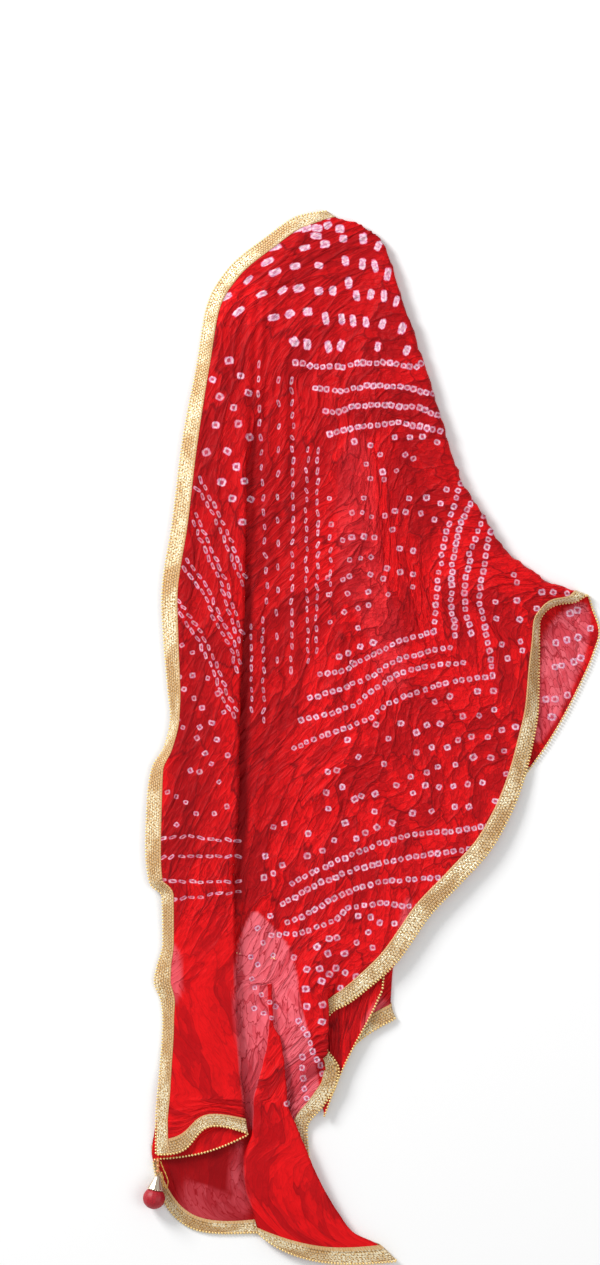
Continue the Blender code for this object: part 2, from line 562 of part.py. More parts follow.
def end_lace(name, end, inner, across):
    """Lace strip along a short end, between the two side strips."""
    places = np.array(across)
    first = seam_step([end], [places[0]], 0.0, 0.2)[0] * 0.2
    last = seam_step([end], [places[-1]], 0.0, -0.2)[0] * 0.2
    places[0] += max(first, 0.02)
    places[-1] -= max(last, 0.02)
    towards = 0.2 * (end - inner)
    share = seam_step(np.full(len(places), inner), places, towards, 0.0)
    starts = inner + towards * share * END_GAP_SHARE
    rows = np.stack([end + (starts - end) * index / 2 for index in range(3)], axis=0)
    rows = np.sort(rows, axis=0)
    place_grid = np.repeat(places[None, :], 3, axis=0)
    make_sheet(name, rows, place_grid, LACE_THICKNESS, LACE_GOLD, 0.4, 0.45)


def turned(name, profile, base, axis, segments, colour, metallic, roughness, flutes=0):
    """A body turned round an axis from a closed profile of (distance along, radius)."""
    axis = np.array(axis) / np.linalg.norm(axis)
    side = np.cross(axis, (0.0, 0.0, 1.0))
    side /= np.linalg.norm(side)
    upward = np.cross(side, axis)
    points, faces = [], []
    for index in range(segments):
        angle = 2.0 * math.pi * index / segments
        outward = side * math.cos(angle) + upward * math.sin(angle)
        for along, radius, flute in profile:
            wave = 1.0 + flute * math.cos(flutes * angle)
            points.append(tuple(np.array(base) + axis * along + outward * radius * wave))
    count = len(profile)
    for index in range(segments):
        after = (index + 1) % segments
        for step in range(count):
            ahead = (step + 1) % count
            faces.append((index * count + step, index * count + ahead,
                          after * count + ahead, after * count + step))
    add_body(name, points, faces, colour, metallic, roughness)


def add_body(name, points, faces, colour, metallic, roughness):
    mesh = bpy.data.meshes.new(name)
    mesh.from_pydata(points, [], faces)
    mesh.validate()
    mesh.shade_smooth()
    piece = bpy.data.objects.new(name, mesh)
    bpy.context.scene.collection.objects.link(piece)
    finish(piece, colour, metallic, roughness)
    return piece


def tube(name, path, radius, sides, colour, metallic, roughness):
    """A round cord along a path, closed at both ends."""
    path = np.array(path)
    points, faces = [], []
    for index, place in enumerate(path):
        ahead = path[min(index + 1, len(path) - 1)] - path[max(index - 1, 0)]
        ahead /= np.linalg.norm(ahead)
        side = np.cross(ahead, (0.0, 0.0, 1.0))
        side /= np.linalg.norm(side)
        upward = np.cross(side, ahead)
        for step in range(sides):
            angle = 2.0 * math.pi * step / sides
            points.append(tuple(place + (side * math.cos(angle)
                                         + upward * math.sin(angle)) * radius))
    for index in range(len(path) - 1):
        for step in range(sides):
            after = (step + 1) % sides
            faces.append((index * sides + after, index * sides + step,
                          (index + 1) * sides + step, (index + 1) * sides + after))
    faces.append(tuple(range(sides)))
    last = (len(path) - 1) * sides
    faces.append(tuple(reversed(range(last, last + sides))))
    add_body(name, points, faces, colour, metallic, roughness)


def ball(name, centre, radius, floor, colour, metallic, roughness):
    """A round bud whose lowest part is pressed flat on the surface."""
    points, faces = [], []
    rings, segments = 14, 24
    for ring in range(rings + 1):
        polar = math.pi * ring / rings
        for index in range(segments):
            angle = 2.0 * math.pi * index / segments
            points.append((centre[0] + radius * math.sin(polar) * math.cos(angle),
                           centre[1] + radius * math.sin(polar) * math.sin(angle),
                           max(centre[2] + radius * math.cos(polar), floor)))
            if ring in (0, rings):
                break
    starts = [0] + [1 + segments * ring for ring in range(rings - 1)]
    for index in range(segments):
        after = (index + 1) % segments
        faces.append((0, starts[1] + index, starts[1] + after))
        faces.append((len(points) - 1, starts[-1] + after, starts[-1] + index))
        for ring in range(1, rings - 1):
            faces.append((starts[ring] + index, starts[ring + 1] + index,
                          starts[ring + 1] + after, starts[ring] + after))
    add_body(name, points, faces, colour, metallic, roughness)


def place_mm(x, y, height):
    """A place of the picture plane at a height in millimetres, in metres."""
    return np.array([(x - CENTRE_X) * PIXEL, (CENTRE_Y - y) * PIXEL, height * 0.001])


def smooth_path(points, count):
    knots = np.arange(len(points), dtype=float)
    table = [(knot, *point) for knot, point in zip(knots, points)]
    places = np.linspace(0.0, knots[-1], count)
    return np.stack([read_table(table, places, column) for column in (1, 2, 3)], axis=-1)


# The tassel's parts by picture place and height in millimetres
BUD_CENTRE = (154.3, 1197.2, 15.0)
CAP_TIP = (158.0, 1174.6, 16.0)
CORD_PATH = ((157.6, 1157.2, 12.5), (158.4, 1162.0, 14.0), (158.3, 1168.0, 15.2),
             (158.1, 1172.6, 15.9))
LOOP_PATH = ((160.6, 1160.5, 12.6), (163.2, 1167.0, 12.2), (166.6, 1175.0, 11.4),
             (168.2, 1181.0, 10.4), (166.4, 1187.5, 9.6), (163.6, 1184.0, 10.2),
             (163.4, 1178.0, 11.4), (161.6, 1171.0, 12.6))
# Cap profile from its tip: (along, outer radius, flute), then back along the inside
CAP_PROFILE = ((0.0000, 0.0021, 0.0), (0.0020, 0.0036, 0.0), (0.0060, 0.0052, 0.03),
               (0.0120, 0.0078, 0.05), (0.0190, 0.0108, 0.07), (0.0190, 0.0099, 0.07),
               (0.0125, 0.0068, 0.05), (0.0065, 0.0042, 0.03), (0.0030, 0.0022, 0.0),
               (0.0026, 0.0006, 0.0), (0.0, 0.0006, 0.0))


def build_tassel():
    centre = place_mm(*BUD_CENTRE)
    tip = place_mm(*CAP_TIP)
    ball("tassel_bud", centre, BUD_RADIUS, 0.0, BUD_RED, 0.0, 0.5)
    turned("tassel_cap", CAP_PROFILE, tip, centre - tip, 36, CAP_SILVER, 0.8, 0.35, 9)
    cord = smooth_path([place_mm(*point) for point in CORD_PATH], 9)
    tube("tassel_cord", cord, CORD_RADIUS, 8, LACE_GOLD, 0.5, 0.4)
    loop = smooth_path([place_mm(*point) for point in LOOP_PATH], 25)
    tube("tassel_loop", loop, LOOP_RADIUS, 6, LACE_GOLD, 0.6, 0.4)


# The sheet's places across: those between two folds, then where the next fold starts
FOLD_PLACES = (((2.0, 3.2), 4), ((6.0,), 7), ((9.0, 10.0, 11.0), 12), ((13.5,), 14),
               ((16.0, 17.0), 18), ((19.5,), 20), ((22.0, 23.5, 25.0), 26), ((28.0,), 29))


def build():
    for item in list(bpy.data.objects):
        bpy.data.objects.remove(item, do_unlink=True)
    across = [LACE_PLACE]
    for flat_places, first in FOLD_PLACES:
        across += list(flat_places) + fold_steps(first, first + 1)
    across += [31.0, LAST_PLACE - LACE_PLACE]
    along = join_steps(
        steps_between(-9.0, -6.0, 9), steps_between(-6.0, -0.5, 5), steps_between(-0.5, 0.5, 5),
        steps_between(0.5, 5.0, 4), steps_between(5.0, 7.0, 3), steps_between(7.0, 12.5, 6),
        steps_between(12.5, 16.0, 10), steps_between(16.0, 17.0, 7))
    rows, places = np.meshgrid(along, across, indexing="ij")
    make_sheet("dupatta_cloth", rows, places, CLOTH_THICKNESS, CLOTH_RED, 0.0, 0.6)
    side_lace("lace_left", 0.0, LACE_PLACE, along)
    side_lace("lace_right", LAST_PLACE, LAST_PLACE - LACE_PLACE, along)
    end_lace("lace_front", FRONT_END, FRONT_LACE, across)
    end_lace("lace_back", BACK_END, BACK_LACE, across)
    build_tassel()


build()
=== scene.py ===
"""Looks of a tie-dyed dupatta with gold lace edges, laid out on a plain floor.

The tables and the functions that shape the sheet are those of the solid part. The dots,
the crinkles, the lace's weave and the beads are added here.
"""
import math
import random

import bpy
import numpy as np
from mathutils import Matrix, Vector
from mathutils import kdtree
from mathutils import noise


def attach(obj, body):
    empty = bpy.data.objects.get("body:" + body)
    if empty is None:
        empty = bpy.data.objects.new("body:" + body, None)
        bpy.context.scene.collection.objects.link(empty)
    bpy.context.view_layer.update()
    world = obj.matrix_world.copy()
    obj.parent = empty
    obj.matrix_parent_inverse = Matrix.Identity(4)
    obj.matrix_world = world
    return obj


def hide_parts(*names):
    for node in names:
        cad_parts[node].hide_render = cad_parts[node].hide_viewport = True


# Driving sizes
DRAPE_LENGTH = 1.460        # from the long fold's top to the lowest tip of the front end
BUD_RADIUS = 0.0152
CORD_RADIUS = 0.0012
LOOP_RADIUS = 0.0008

# Places are pixels of a 600 x 1265 picture plane, x to the right and y down
PICTURE_LENGTH = 1050.0     # the drape length in those pixels
PIXEL = DRAPE_LENGTH / PICTURE_LENGTH
CENTRE_X = 374.6
CENTRE_Y = 737.3

# Rows run along the sheet: -10 is the back end, 0 the long fold, 18 the front end.
# Rows -9 and 17 are the inner lines of the lace on the two short ends.
BACK_END, BACK_LACE, FOLD, FRONT_LACE, FRONT_END = -10.0, -9.0, 0.0, 17.0, 18.0

# Each line below runs lengthwise down the sheet: (row, x, y)
LEFT_EDGE = (
    (-10, 188, 946), (-9, 186, 930), (-8, 180, 880), (-7, 184, 780), (-6, 189, 660),
    (-5, 195, 545), (-4, 204, 440), (-3, 222, 335), (-2, 262, 274), (-1, 308, 233),
    (0, 327, 212), (1, 300, 217), (2, 266, 239), (3, 229, 270), (4, 209, 304),
    (5, 198, 366), (6, 184, 440), (7, 174, 520), (8, 163, 600), (8.5, 165, 640),
    (9, 169, 690), (9.3, 171.5, 717), (9.6, 165, 747), (9.8, 153, 768), (10, 149, 792),
    (10.6, 147, 850), (11, 151, 883), (11.2, 163, 895), (12, 164, 942), (12.6, 158, 967),
    (13, 155.5, 981), (13.6, 162.5, 1002), (14, 164, 1020), (15, 161.5, 1064),
    (16, 158.5, 1098), (16.5, 157, 1122), (17, 157, 1139), (18, 157, 1154),
)
MIDDLE_LINE = (
    (-10, 300, 962), (-9, 302, 946), (-8, 308, 898), (-7, 320, 800), (-6, 328, 695),
    (-5, 334, 592), (-4, 341, 500), (-3, 350, 405), (-2, 362, 328), (-1, 376, 281),
    (0, 388, 253), (1, 378, 268), (2, 366, 291), (3, 352, 325), (4, 340, 365),
    (5, 331, 412), (6, 322, 460), (7, 315, 535), (8, 310, 620), (9, 307, 708),
    (10, 303, 790), (11, 299, 867), (12, 296, 927), (13, 295, 977), (14, 297, 1018),
    (15, 302, 1050), (16, 297, 1082), (16.5, 278, 1142), (17, 289, 1202), (18, 292, 1220),
)
ARM_LINE = (
    (-10, 340, 990), (-9, 346, 975), (-8, 356, 925), (-7, 372, 815), (-6, 370, 715),
    (-5, 376, 630), (-4, 384, 555), (-3, 391, 485), (-2, 399, 425), (-1, 406, 378),
    (0, 419, 349), (1, 403, 357), (2, 390, 372), (3, 380, 398), (4, 373, 425),
    (5, 368, 458), (6, 363, 495), (7, 356, 556), (8, 350, 630), (9, 345, 710),
    (10, 340, 788), (11, 333, 861), (12, 323, 921), (13, 313, 972), (14, 316, 1013),
    (15, 318, 1044), (16, 307, 1074), (16.5, 281, 1140), (17, 292, 1202), (18, 295, 1219),
)
# In the front layer this is the outer fold of a small tuck near the right edge, and in the
# back layer the outer fold of a zigzag
TUCK_OUTER = (
    (-10, 395, 1018), (-9, 391, 1003), (-8.4, 393, 968), (-8, 412, 935), (-7, 444, 842),
    (-6.5, 438, 794), (-6, 434, 745), (-5, 438, 672), (-4, 445, 610), (-3, 451, 562),
    (-2, 457, 526), (-1, 460, 500), (0, 464, 487), (1, 446, 494), (2, 430, 505), (3, 416, 520),
    (4, 407, 538), (5, 401, 560), (6, 398, 586), (7, 392, 625), (8, 384, 676),
    (9, 376, 738), (10, 368, 802), (11, 356, 866), (12, 341, 925), (13, 328.5, 980),
    (14, 327.5, 1018), (15, 327, 1048), (16, 312, 1072), (16.5, 284, 1138),
    (17, 295, 1202), (18, 298, 1218),
)
TUCK_INNER = (
    (-10, 325, 1118), (-9, 321, 1092), (-8.7, 317, 1052), (-8.4, 314, 1010),
    (-8, 345, 950), (-7, 438, 850), (-6.5, 449, 808), (-6, 458, 772), (-5, 472, 712),
    (-4, 487, 652), (-3, 497, 607), (-2, 503, 581), (-1, 506, 563), (0, 508, 554),
    (1, 489, 560), (2, 467, 565),
    (3, 447, 572), (4, 437, 588), (5, 431, 608), (6, 427, 634), (7, 420, 668),
    (8, 409, 710), (9, 398, 763), (10, 386, 817), (11, 370, 874), (12, 350, 932),
    (12.5, 346, 959), (13, 335, 985), (13.5, 322, 1003), (14, 311, 1020),
    (14.5, 308.5, 1036), (15, 311, 1048), (15.5, 318, 1059), (16, 316, 1071),
    (16.5, 288, 1136), (17, 299, 1202), (18, 302, 1218),
)
RIGHT_EDGE = (
    (-10, 382, 990), (-9, 383.5, 974), (-8, 405, 945), (-7, 458, 862), (-6, 512, 790),
    (-5, 547, 743), (-4, 573, 697), (-3, 592, 655), (-2, 598.5, 632), (-1, 592, 610),
    (0, 586, 595), (1, 575, 601.5), (2, 558, 604), (3, 545.5, 611), (4, 539, 624),
    (5, 538.5, 655), (6, 537.5, 705), (7, 529.5, 753), (8, 516.6, 797), (9, 491, 847),
    (10, 460, 882), (11, 427, 917), (11.5, 412, 939), (12, 396, 961), (12.5, 371, 984),
    (13, 346, 1003), (13.4, 333, 1009.5), (13.7, 327, 1016), (14, 322, 1029),
    (14.5, 322, 1042), (15, 327, 1051), (15.5, 334, 1060), (16, 338, 1071),
    (16.12, 335, 1085), (16.28, 323, 1104), (16.5, 306, 1129), (16.75, 310, 1172),
    (17, 322, 1202), (18, 326, 1218),
)
# The pleat down the left of the front layer, its outer fold and the fold under it
PLEAT_OUTER = (
    (5, 250, 388), (6, 247, 440), (7, 245.5, 520), (8, 245, 605), (9, 240.5, 697),
    (10, 239.5, 790), (11, 234.5, 875), (12, 235, 930), (13, 236, 978), (14, 238, 1022),
    (15, 241, 1064), (16, 244.5, 1098), (16.5, 245.5, 1108), (17, 246.5, 1118.5),
    (18, 248.5, 1133.5),
)
PLEAT_INNER = (
    (5, 261, 391), (6, 252.5, 442), (6.5, 241, 480), (7, 226, 522), (8, 197, 607), (9, 189, 699),
    (10, 178, 790), (11, 177, 878), (12, 181, 932), (13, 179, 980), (14, 176, 1022),
    (15, 169, 1066), (16, 161, 1102), (16.5, 155.5, 1123), (17, 151.5, 1144),
    (18, 154.5, 1159),
)
# The cone-shaped box pleat of the front end: its two sides and the line where they meet
CONE_LEFT = (
    (13, 267, 985), (14, 268.5, 1021), (14.5, 267, 1040), (15, 263.5, 1061),
    (15.5, 259, 1079), (16, 254, 1100), (16.3, 252.5, 1132), (16.5, 242.5, 1160),
    (16.65, 243.5, 1185), (16.85, 251, 1208), (17, 257, 1226), (18, 259.5, 1232.5),
)
CONE_RIGHT = (
    (13, 272, 985), (14, 273.5, 1023), (14.5, 280, 1038), (15, 283, 1060),
    (15.5, 285, 1080), (16, 287, 1103), (16.15, 294, 1120), (16.35, 308, 1153),
    (16.5, 315, 1170), (16.7, 334, 1204), (16.85, 355, 1232), (17, 381, 1244),
    (18, 399, 1260.5),
)
CONE_UNDER = (
    (13, 269.5, 985), (14, 271, 1021), (15, 273, 1060), (16, 270, 1100),
    (16.5, 272, 1160), (17, 279, 1216), (18, 285, 1232),
)

# The lines between the folds have places of their own near the front end
STRIP_FIRST = ((16, 193, 1099), (16.5, 188, 1117), (17, 187, 1133), (18, 190, 1150))
STRIP_SECOND = ((16, 219, 1099), (16.5, 209, 1103), (17, 201, 1108), (18, 204, 1118))
PLEAT_MIDDLE = ((16, 203, 1100), (16.5, 201, 1118), (17, 200, 1139), (18, 206, 1155))
BASE_FIRST = ((16, 188, 1104), (16.5, 174, 1150), (17, 168, 1194), (18, 161, 1205))
BASE_SECOND = ((16, 215, 1104), (16.5, 203, 1162), (17, 193.5, 1220), (18, 192, 1234))
BASE_THIRD = ((16, 243, 1103), (16.5, 240, 1163), (17, 238, 1222), (18, 240, 1233))
CONE_FIRST = ((16, 264, 1101), (16.5, 265, 1162), (17, 284, 1238), (18, 280, 1251))
CONE_SECOND = ((16, 275.5, 1102), (16.5, 290, 1166), (17, 330, 1249), (18, 330, 1266))

# The back end's zigzag has lines of its own in its two upper layers
ZIGZAG_MIDDLE = ((-10, 341, 1046), (-9, 335, 1031), (-8.4, 346, 993), (-8, 378, 946))
ZIGZAG_LAST = ((-10, 343, 1064), (-9, 336, 1050), (-8.4, 348, 990), (-8, 372, 946))

# Where a line has no fold it lies at this share of the way between two of the lines above
LEFT_SHARES = {"pleat_outer": 0.30, "pleat_inner": 0.40, "cone_under_left": 0.58,
               "cone_left": 0.66, "cone_right": 0.76, "cone_under_right": 0.86}
SHOULDER_BOW = 9.0          # how far the long fold bows out along its upper half
FOLD_LIP = 1.6              # how far a fold's control points stand beyond its line
UNDER_FOLD_GAP = 2.6        # half the slit between the cone's two hidden folds
LAST_REACH = 20.0           # pixels from the right lace to the line beside it
ARM_SAG = 10.0              # how far the long fold sags along its lower half
LACE_HALFWAY = 0.45         # share of the lace's width at the control line in its middle
BACK_CORNER = -8.2          # behind this row the lace's inner line follows the back end

# Heights of the sheet's middle surface in millimetres, (row, height)
BACK_HEIGHT = ((-10, 0.5), (FOLD, 0.5))
FRONT_HEIGHT_LEFT = ((0, 12), (1, 12), (3, 9), (10, 8.5), (11, 7.5), (12, 4), (13, 2),
                     (14, 1.4), (18, 1.2))
FRONT_HEIGHT_MIDDLE = ((0, 14), (1, 13), (3, 9), (11, 9), (12, 11), (13, 14), (13.6, 17),
                       (14, 18), (14.5, 16), (15, 11), (15.5, 6), (16, 3.5), (16.5, 2),
                       (18, 1.2))
FRONT_HEIGHT_RIGHT = ((0, 15), (1, 18), (3, 18), (5, 13), (7, 11), (9, 14), (11, 15),
                      (15, 14.5), (16, 13.5), (16.3, 11), (16.5, 5), (16.75, 2), (17, 1.2),
                      (18, 1.2))
PLEAT_RISE = ((3.4, 0), (5, 3), (5.8, 5.5), (18, 5.5))
CONE_RISE = ((12.4, 0), (13.6, 4.8), (15, 6), (16, 8), (16.5, 8), (16.8, 6), (17, 5),
             (18, 4.4))
TUCK_RISE = ((12.1, 0), (12.9, 4.2), (15.5, 4.2), (16.1, 0))
ZIGZAG_RISE = ((-10, 5.2), (-8.6, 4.6), (-6.6, 4.6), (-5.6, 0))
FOLD_TURN = 0.36            # rows on each side of the long fold that make its round edge

# How far the lace's inner line lies from the edge in the picture plane, and how far the
# edge hangs below it: (row, pixels, millimetres)
LEFT_LACE = (
    (-10, 15.8, 0), (-1, 15.8, 0), (0, 11, 3), (1, 12, 7), (3, 12, 7), (5, 11, 7),
    (6, 13.5, 9), (8, 13, 10), (9, 10, 11), (9.3, 6, 11), (9.6, 5, 12), (10, 11, 11),
    (10.6, 12, 9), (11.2, 9, 9), (12, 8, 9), (13, 14, 8), (13.6, 11, 9), (14, 8, 9),
    (15, 8, 7), (15.6, 8, 4), (16, 8, 3), (17, 9, 3), (18, 12, 3),
)
RIGHT_LACE = (
    (-10, 15.8, 0), (-4, 15.8, 0), (-2, 13, 1.5), (-1, 9, 3), (0, 7, 3), (1, 4, 10),
    (3.3, 3, 13), (4.5, 4.5, 12), (5.5, 9, 10), (7, 14, 5), (9, 15.5, 1.5),
    (13, 15.8, 1), (14, 8, 0.6), (15, 8, 0.6), (16, 15.8, 0.6), (18, 15.8, 0),
)

# Soft lengthwise gathers shared by every layer that lies at one place, so that stacked
# layers stay apart. The fan gives the drape's sides at each height: (y, left, right)
FAN = ((205, 318, 345), (300, 206, 405), (400, 192, 436), (500, 175, 470), (600, 165, 560),
       (700, 168, 540), (800, 150, 516), (900, 158, 440), (1000, 160, 350),
       (1100, 158, 330), (1270, 160, 330))
# (share of the way across, half width as a share, height in millimetres)
GATHERS = (
    (0.075, 0.030, 1.2), (0.130, 0.026, 1.0), (0.245, 0.020, 2.6), (0.292, 0.019, 3.4),
    (0.340, 0.021, 3.0), (0.392, 0.023, 2.4), (0.455, 0.030, 1.5), (0.610, 0.050, 1.1),
    (0.760, 0.055, 1.0),
)
GATHER_SWAY = 0.012
NET_PROBE, NORMAL_PROBE, LACE_PROBE = 0.02, 0.03, 0.02   # steps that measure a direction
TINY = 1e-12
# (y, how strong the gathers are there)
GATHER_STRENGTH = ((215, 0.5), (330, 0.8), (450, 1.0), (880, 1.0), (960, 0.55), (1040, 0.2),
                   (1270, 0.35))

LAST_PLACE = 33.0           # spans of the spline across, which has 36 control points
LACE_PLACE = 1.0            # where the lace ends and the cloth starts, counted from an edge

# The tassel's parts by picture place and height in millimetres
BUD_CENTRE = (154.3, 1197.2, 15.0)
CAP_TIP = (158.0, 1174.6, 16.0)
CORD_PATH = ((157.6, 1157.2, 12.5), (158.4, 1162.0, 14.0), (158.3, 1168.0, 15.2),
             (158.1, 1172.6, 15.9))
LOOP_PATH = ((160.6, 1160.5, 12.6), (163.2, 1167.0, 12.2), (166.6, 1175.0, 11.4),
             (168.2, 1181.0, 10.4), (166.4, 1187.5, 9.6), (163.6, 1184.0, 10.2),
             (163.4, 1178.0, 11.4), (161.6, 1171.0, 12.6))
# Cap profile from its tip: (along, outer radius)
CAP_PROFILE = ((0.0000, 0.0021), (0.0020, 0.0036), (0.0060, 0.0052), (0.0120, 0.0078),
               (0.0190, 0.0108))

# The dyed dots by picture place. Rows of dots: (radius, spacing, points that the row runs
# through), all in pixels of the picture plane
DOT_ROWS = (
    (3.6, 6.8, ((296, 363), (315, 367), (345, 367), (358, 363), (390, 363), (415, 369),
                (420, 363))),
    (3.6, 6.8, ((314, 388), (343, 392), (370, 386), (403, 387), (433, 395))),
    (3.6, 6.8, ((325, 412), (337, 413), (353, 407), (387, 405), (420, 408), (438, 416))),
    (3.6, 6.8, ((330, 434), (360, 427), (397, 423), (440, 431))),
    (3.3, 8.4, ((463, 475), (455, 502), (445, 538), (437, 578), (434, 630))),
    (3.5, 7.2, ((473, 497), (460, 525), (452, 562), (450, 602), (455, 635))),
    (3.5, 8.0, ((483, 517), (470, 552), (464, 592), (465, 612), (471, 632))),
    (3.6, 8.0, ((490, 532), (483, 565), (478, 598), (487, 640), (492, 675))),
    (3.3, 7.4, ((320, 675), (346, 670), (370, 655), (400, 641), (434, 631))),
    (3.3, 7.4, ((311, 698), (343, 688), (372, 676), (392, 662), (433, 650), (450, 647))),
    (3.3, 7.6, ((302, 720), (332, 713), (358, 703), (375, 688), (398, 673), (435, 665),
                (463, 663))),
    (3.3, 7.6, ((293, 748), (318, 737), (345, 728), (372, 717), (386, 704), (412, 694),
                (445, 683), (492, 675))),
    (2.9, 11.5, ((292, 380), (293, 520), (291, 670))),
    (2.7, 10.5, ((317, 450), (318, 540), (316, 650))),
    (2.5, 10.0, ((307, 450), (306, 560), (308, 660))),
    (2.8, 23.0, ((279, 380), (277, 660))),
    (2.8, 15.0, ((258, 365), (262, 480), (267, 600))),
    (2.5, 10.5, ((251, 627), (252, 710))),
    (2.5, 10.5, ((263, 620), (264, 720))),
    (2.4, 11.0, ((330, 538), (331, 595))),
    (3.4, 7.4, ((292, 883), (312, 872), (345, 857), (378, 844), (412, 834), (452, 831),
                (488, 826))),
    (3.4, 7.4, ((282, 903), (298, 896), (318, 883), (358, 868), (398, 859), (435, 853),
                (468, 849))),
    (3.4, 7.4, ((288, 922), (308, 913), (345, 892), (378, 882), (428, 877), (445, 878))),
    (3.4, 7.8, ((272, 935), (298, 933), (335, 920), (348, 907), (385, 903), (417, 907))),
    (3.6, 8.8, ((298, 1020), (305, 1030), (312, 1047), (314, 1055), (320, 1063), (322, 1073))),
    (3.6, 9.6, ((302, 1057), (303, 1067), (303, 1077), (304, 1088), (307, 1098))),
    # The strip left of the pleat: double rows that slant down to the right
    (2.9, 9.4, ((201, 480), (215, 507), (227, 530), (238, 560), (245, 577))),
    (2.9, 9.4, ((198, 488), (212, 515), (224, 538), (235, 568), (242, 584))),
    (2.9, 9.4, ((197, 515), (211, 548), (224, 575), (233, 607), (242, 632))),
    (2.9, 9.4, ((194, 523), (208, 556), (221, 583), (230, 614), (239, 639))),
    (2.9, 9.4, ((188, 561), (208, 588), (220, 618), (235, 645), (240, 662))),
    (2.9, 9.4, ((185, 569), (205, 596), (217, 625), (232, 652), (237, 669))),
    (2.9, 9.4, ((178, 600), (201, 631), (215, 660), (227, 692), (237, 708))),
    (2.9, 9.4, ((176, 608), (198, 639), (212, 667), (224, 699), (234, 715))),
    (2.9, 9.4, ((164, 838), (190, 836), (215, 839), (238, 840))),
    (2.9, 9.4, ((163, 857), (195, 855), (238, 856))),
    (2.9, 9.4, ((164, 880), (200, 882), (238, 881))),
    (2.9, 9.4, ((165, 899), (200, 896), (238, 891))),
)
# Loose dots: (radius, their places)
DOT_GROUPS = (
    (5.0, ((307, 220), (317, 219), (327, 218), (296, 231), (306, 229), (316, 228), (328, 226),
           (339, 229), (316, 236), (343, 239), (363, 239), (378, 247), (274, 248), (304, 249),
           (325, 245), (267, 262), (296, 266), (319, 266), (345, 262), (362, 265), (375, 266),
           (388, 275), (248, 280), (275, 272), (349, 283), (227, 296), (261, 294), (282, 290),
           (298, 288), (319, 291), (332, 291), (357, 296), (371, 295), (384, 296), (396, 302),
           (239, 312), (274, 318), (291, 315), (308, 313), (325, 319), (342, 320), (353, 322),
           (366, 323), (382, 324), (401, 329), (293, 342), (307, 345), (329, 347), (341, 346),
           (378, 347), (406, 351))),
    (3.0, ((366, 463), (370, 479), (364, 498), (352, 513), (362, 513), (371, 517), (384, 516),
           (330, 499), (331, 524), (342, 540), (375, 538), (348, 560), (360, 558), (370, 558),
           (328, 579), (342, 580), (350, 576), (370, 574), (413, 587), (388, 594), (348, 594),
           (328, 595), (384, 480), (396, 470), (380, 455), (344, 612), (330, 622), (352, 663))),
    (3.6, ((353, 443), (371, 445), (395, 438), (409, 438), (422, 438), (437, 443), (405, 455),
           (413, 458), (382, 472), (447, 490), (409, 498), (426, 498), (440, 504), (395, 510),
           (406, 513), (420, 514), (435, 520), (352, 537), (364, 537), (392, 530), (400, 548),
           (413, 550), (387, 568), (400, 573), (383, 578), (413, 574), (368, 592), (369, 605),
           (358, 608), (358, 628), (360, 647), (348, 653), (372, 642), (339, 657), (513, 575),
           (517, 583), (540, 592), (553, 592), (567, 593), (495, 602), (517, 601), (496, 618),
           (519, 620), (501, 645), (520, 642), (508, 658), (522, 650), (536, 608))),
    (3.7, ((478, 691), (493, 691), (435, 702), (449, 697), (462, 717), (478, 716), (494, 710),
           (441, 723), (428, 725), (416, 732), (400, 723), (376, 724), (348, 739), (388, 738),
           (458, 739), (471, 737), (488, 737), (501, 730), (515, 726), (432, 747), (447, 747),
           (503, 751), (473, 757), (490, 757), (438, 766), (455, 764), (416, 753), (358, 757),
           (383, 763), (411, 776), (426, 772), (506, 773), (337, 770), (327, 772), (342, 787),
           (326, 792), (413, 793), (426, 785), (439, 787), (453, 785), (467, 784), (482, 783),
           (397, 785), (362, 796), (375, 793), (355, 799), (413, 813), (431, 811), (455, 806),
           (468, 807), (494, 801), (329, 808), (345, 822), (375, 810), (392, 822), (378, 827),
           (365, 832), (356, 838), (335, 840), (274, 828), (284, 823), (308, 833), (322, 850),
           (307, 855), (266, 855), (283, 865), (264, 877), (273, 873), (258, 928), (270, 916))),
    (3.9, ((358, 915), (371, 917), (380, 922), (394, 923), (368, 932), (356, 942), (372, 947),
           (337, 937), (316, 946), (328, 938), (293, 957), (328, 952), (344, 953), (336, 967),
           (345, 972), (356, 976), (341, 987), (329, 973), (322, 980), (307, 969), (320, 967),
           (306, 988), (307, 1005), (322, 1003), (322, 1020), (287, 1103))),
    (3.3, ((250, 956), (263, 942), (258, 965), (273, 955), (252, 978), (255, 988), (262, 995),
           (270, 1002), (275, 1007), (255, 1007), (263, 1013), (272, 1017))),
    (3.1, ((183, 645), (192, 653), (193, 675), (180, 677), (184, 689), (208, 678), (194, 698),
           (218, 692), (224, 712), (213, 723), (200, 728), (202, 707), (177, 720), (184, 728),
           (197, 737), (218, 740), (206, 753), (228, 755), (211, 764), (190, 770), (200, 772),
           (219, 782), (168, 793), (177, 797), (186, 802), (196, 813), (214, 813), (227, 807),
           (177, 823))),
)
# Open flower-like dots at the top of the strip: (radius, their places)
PINWHEELS = (4.4, ((230, 361), (241, 377), (213, 380), (221, 397), (249, 393), (234, 408),
                   (239, 425), (216, 425), (251, 438), (207, 453), (228, 452), (237, 467),
                   (222, 482), (245, 482), (232, 498), (250, 500), (243, 523)))
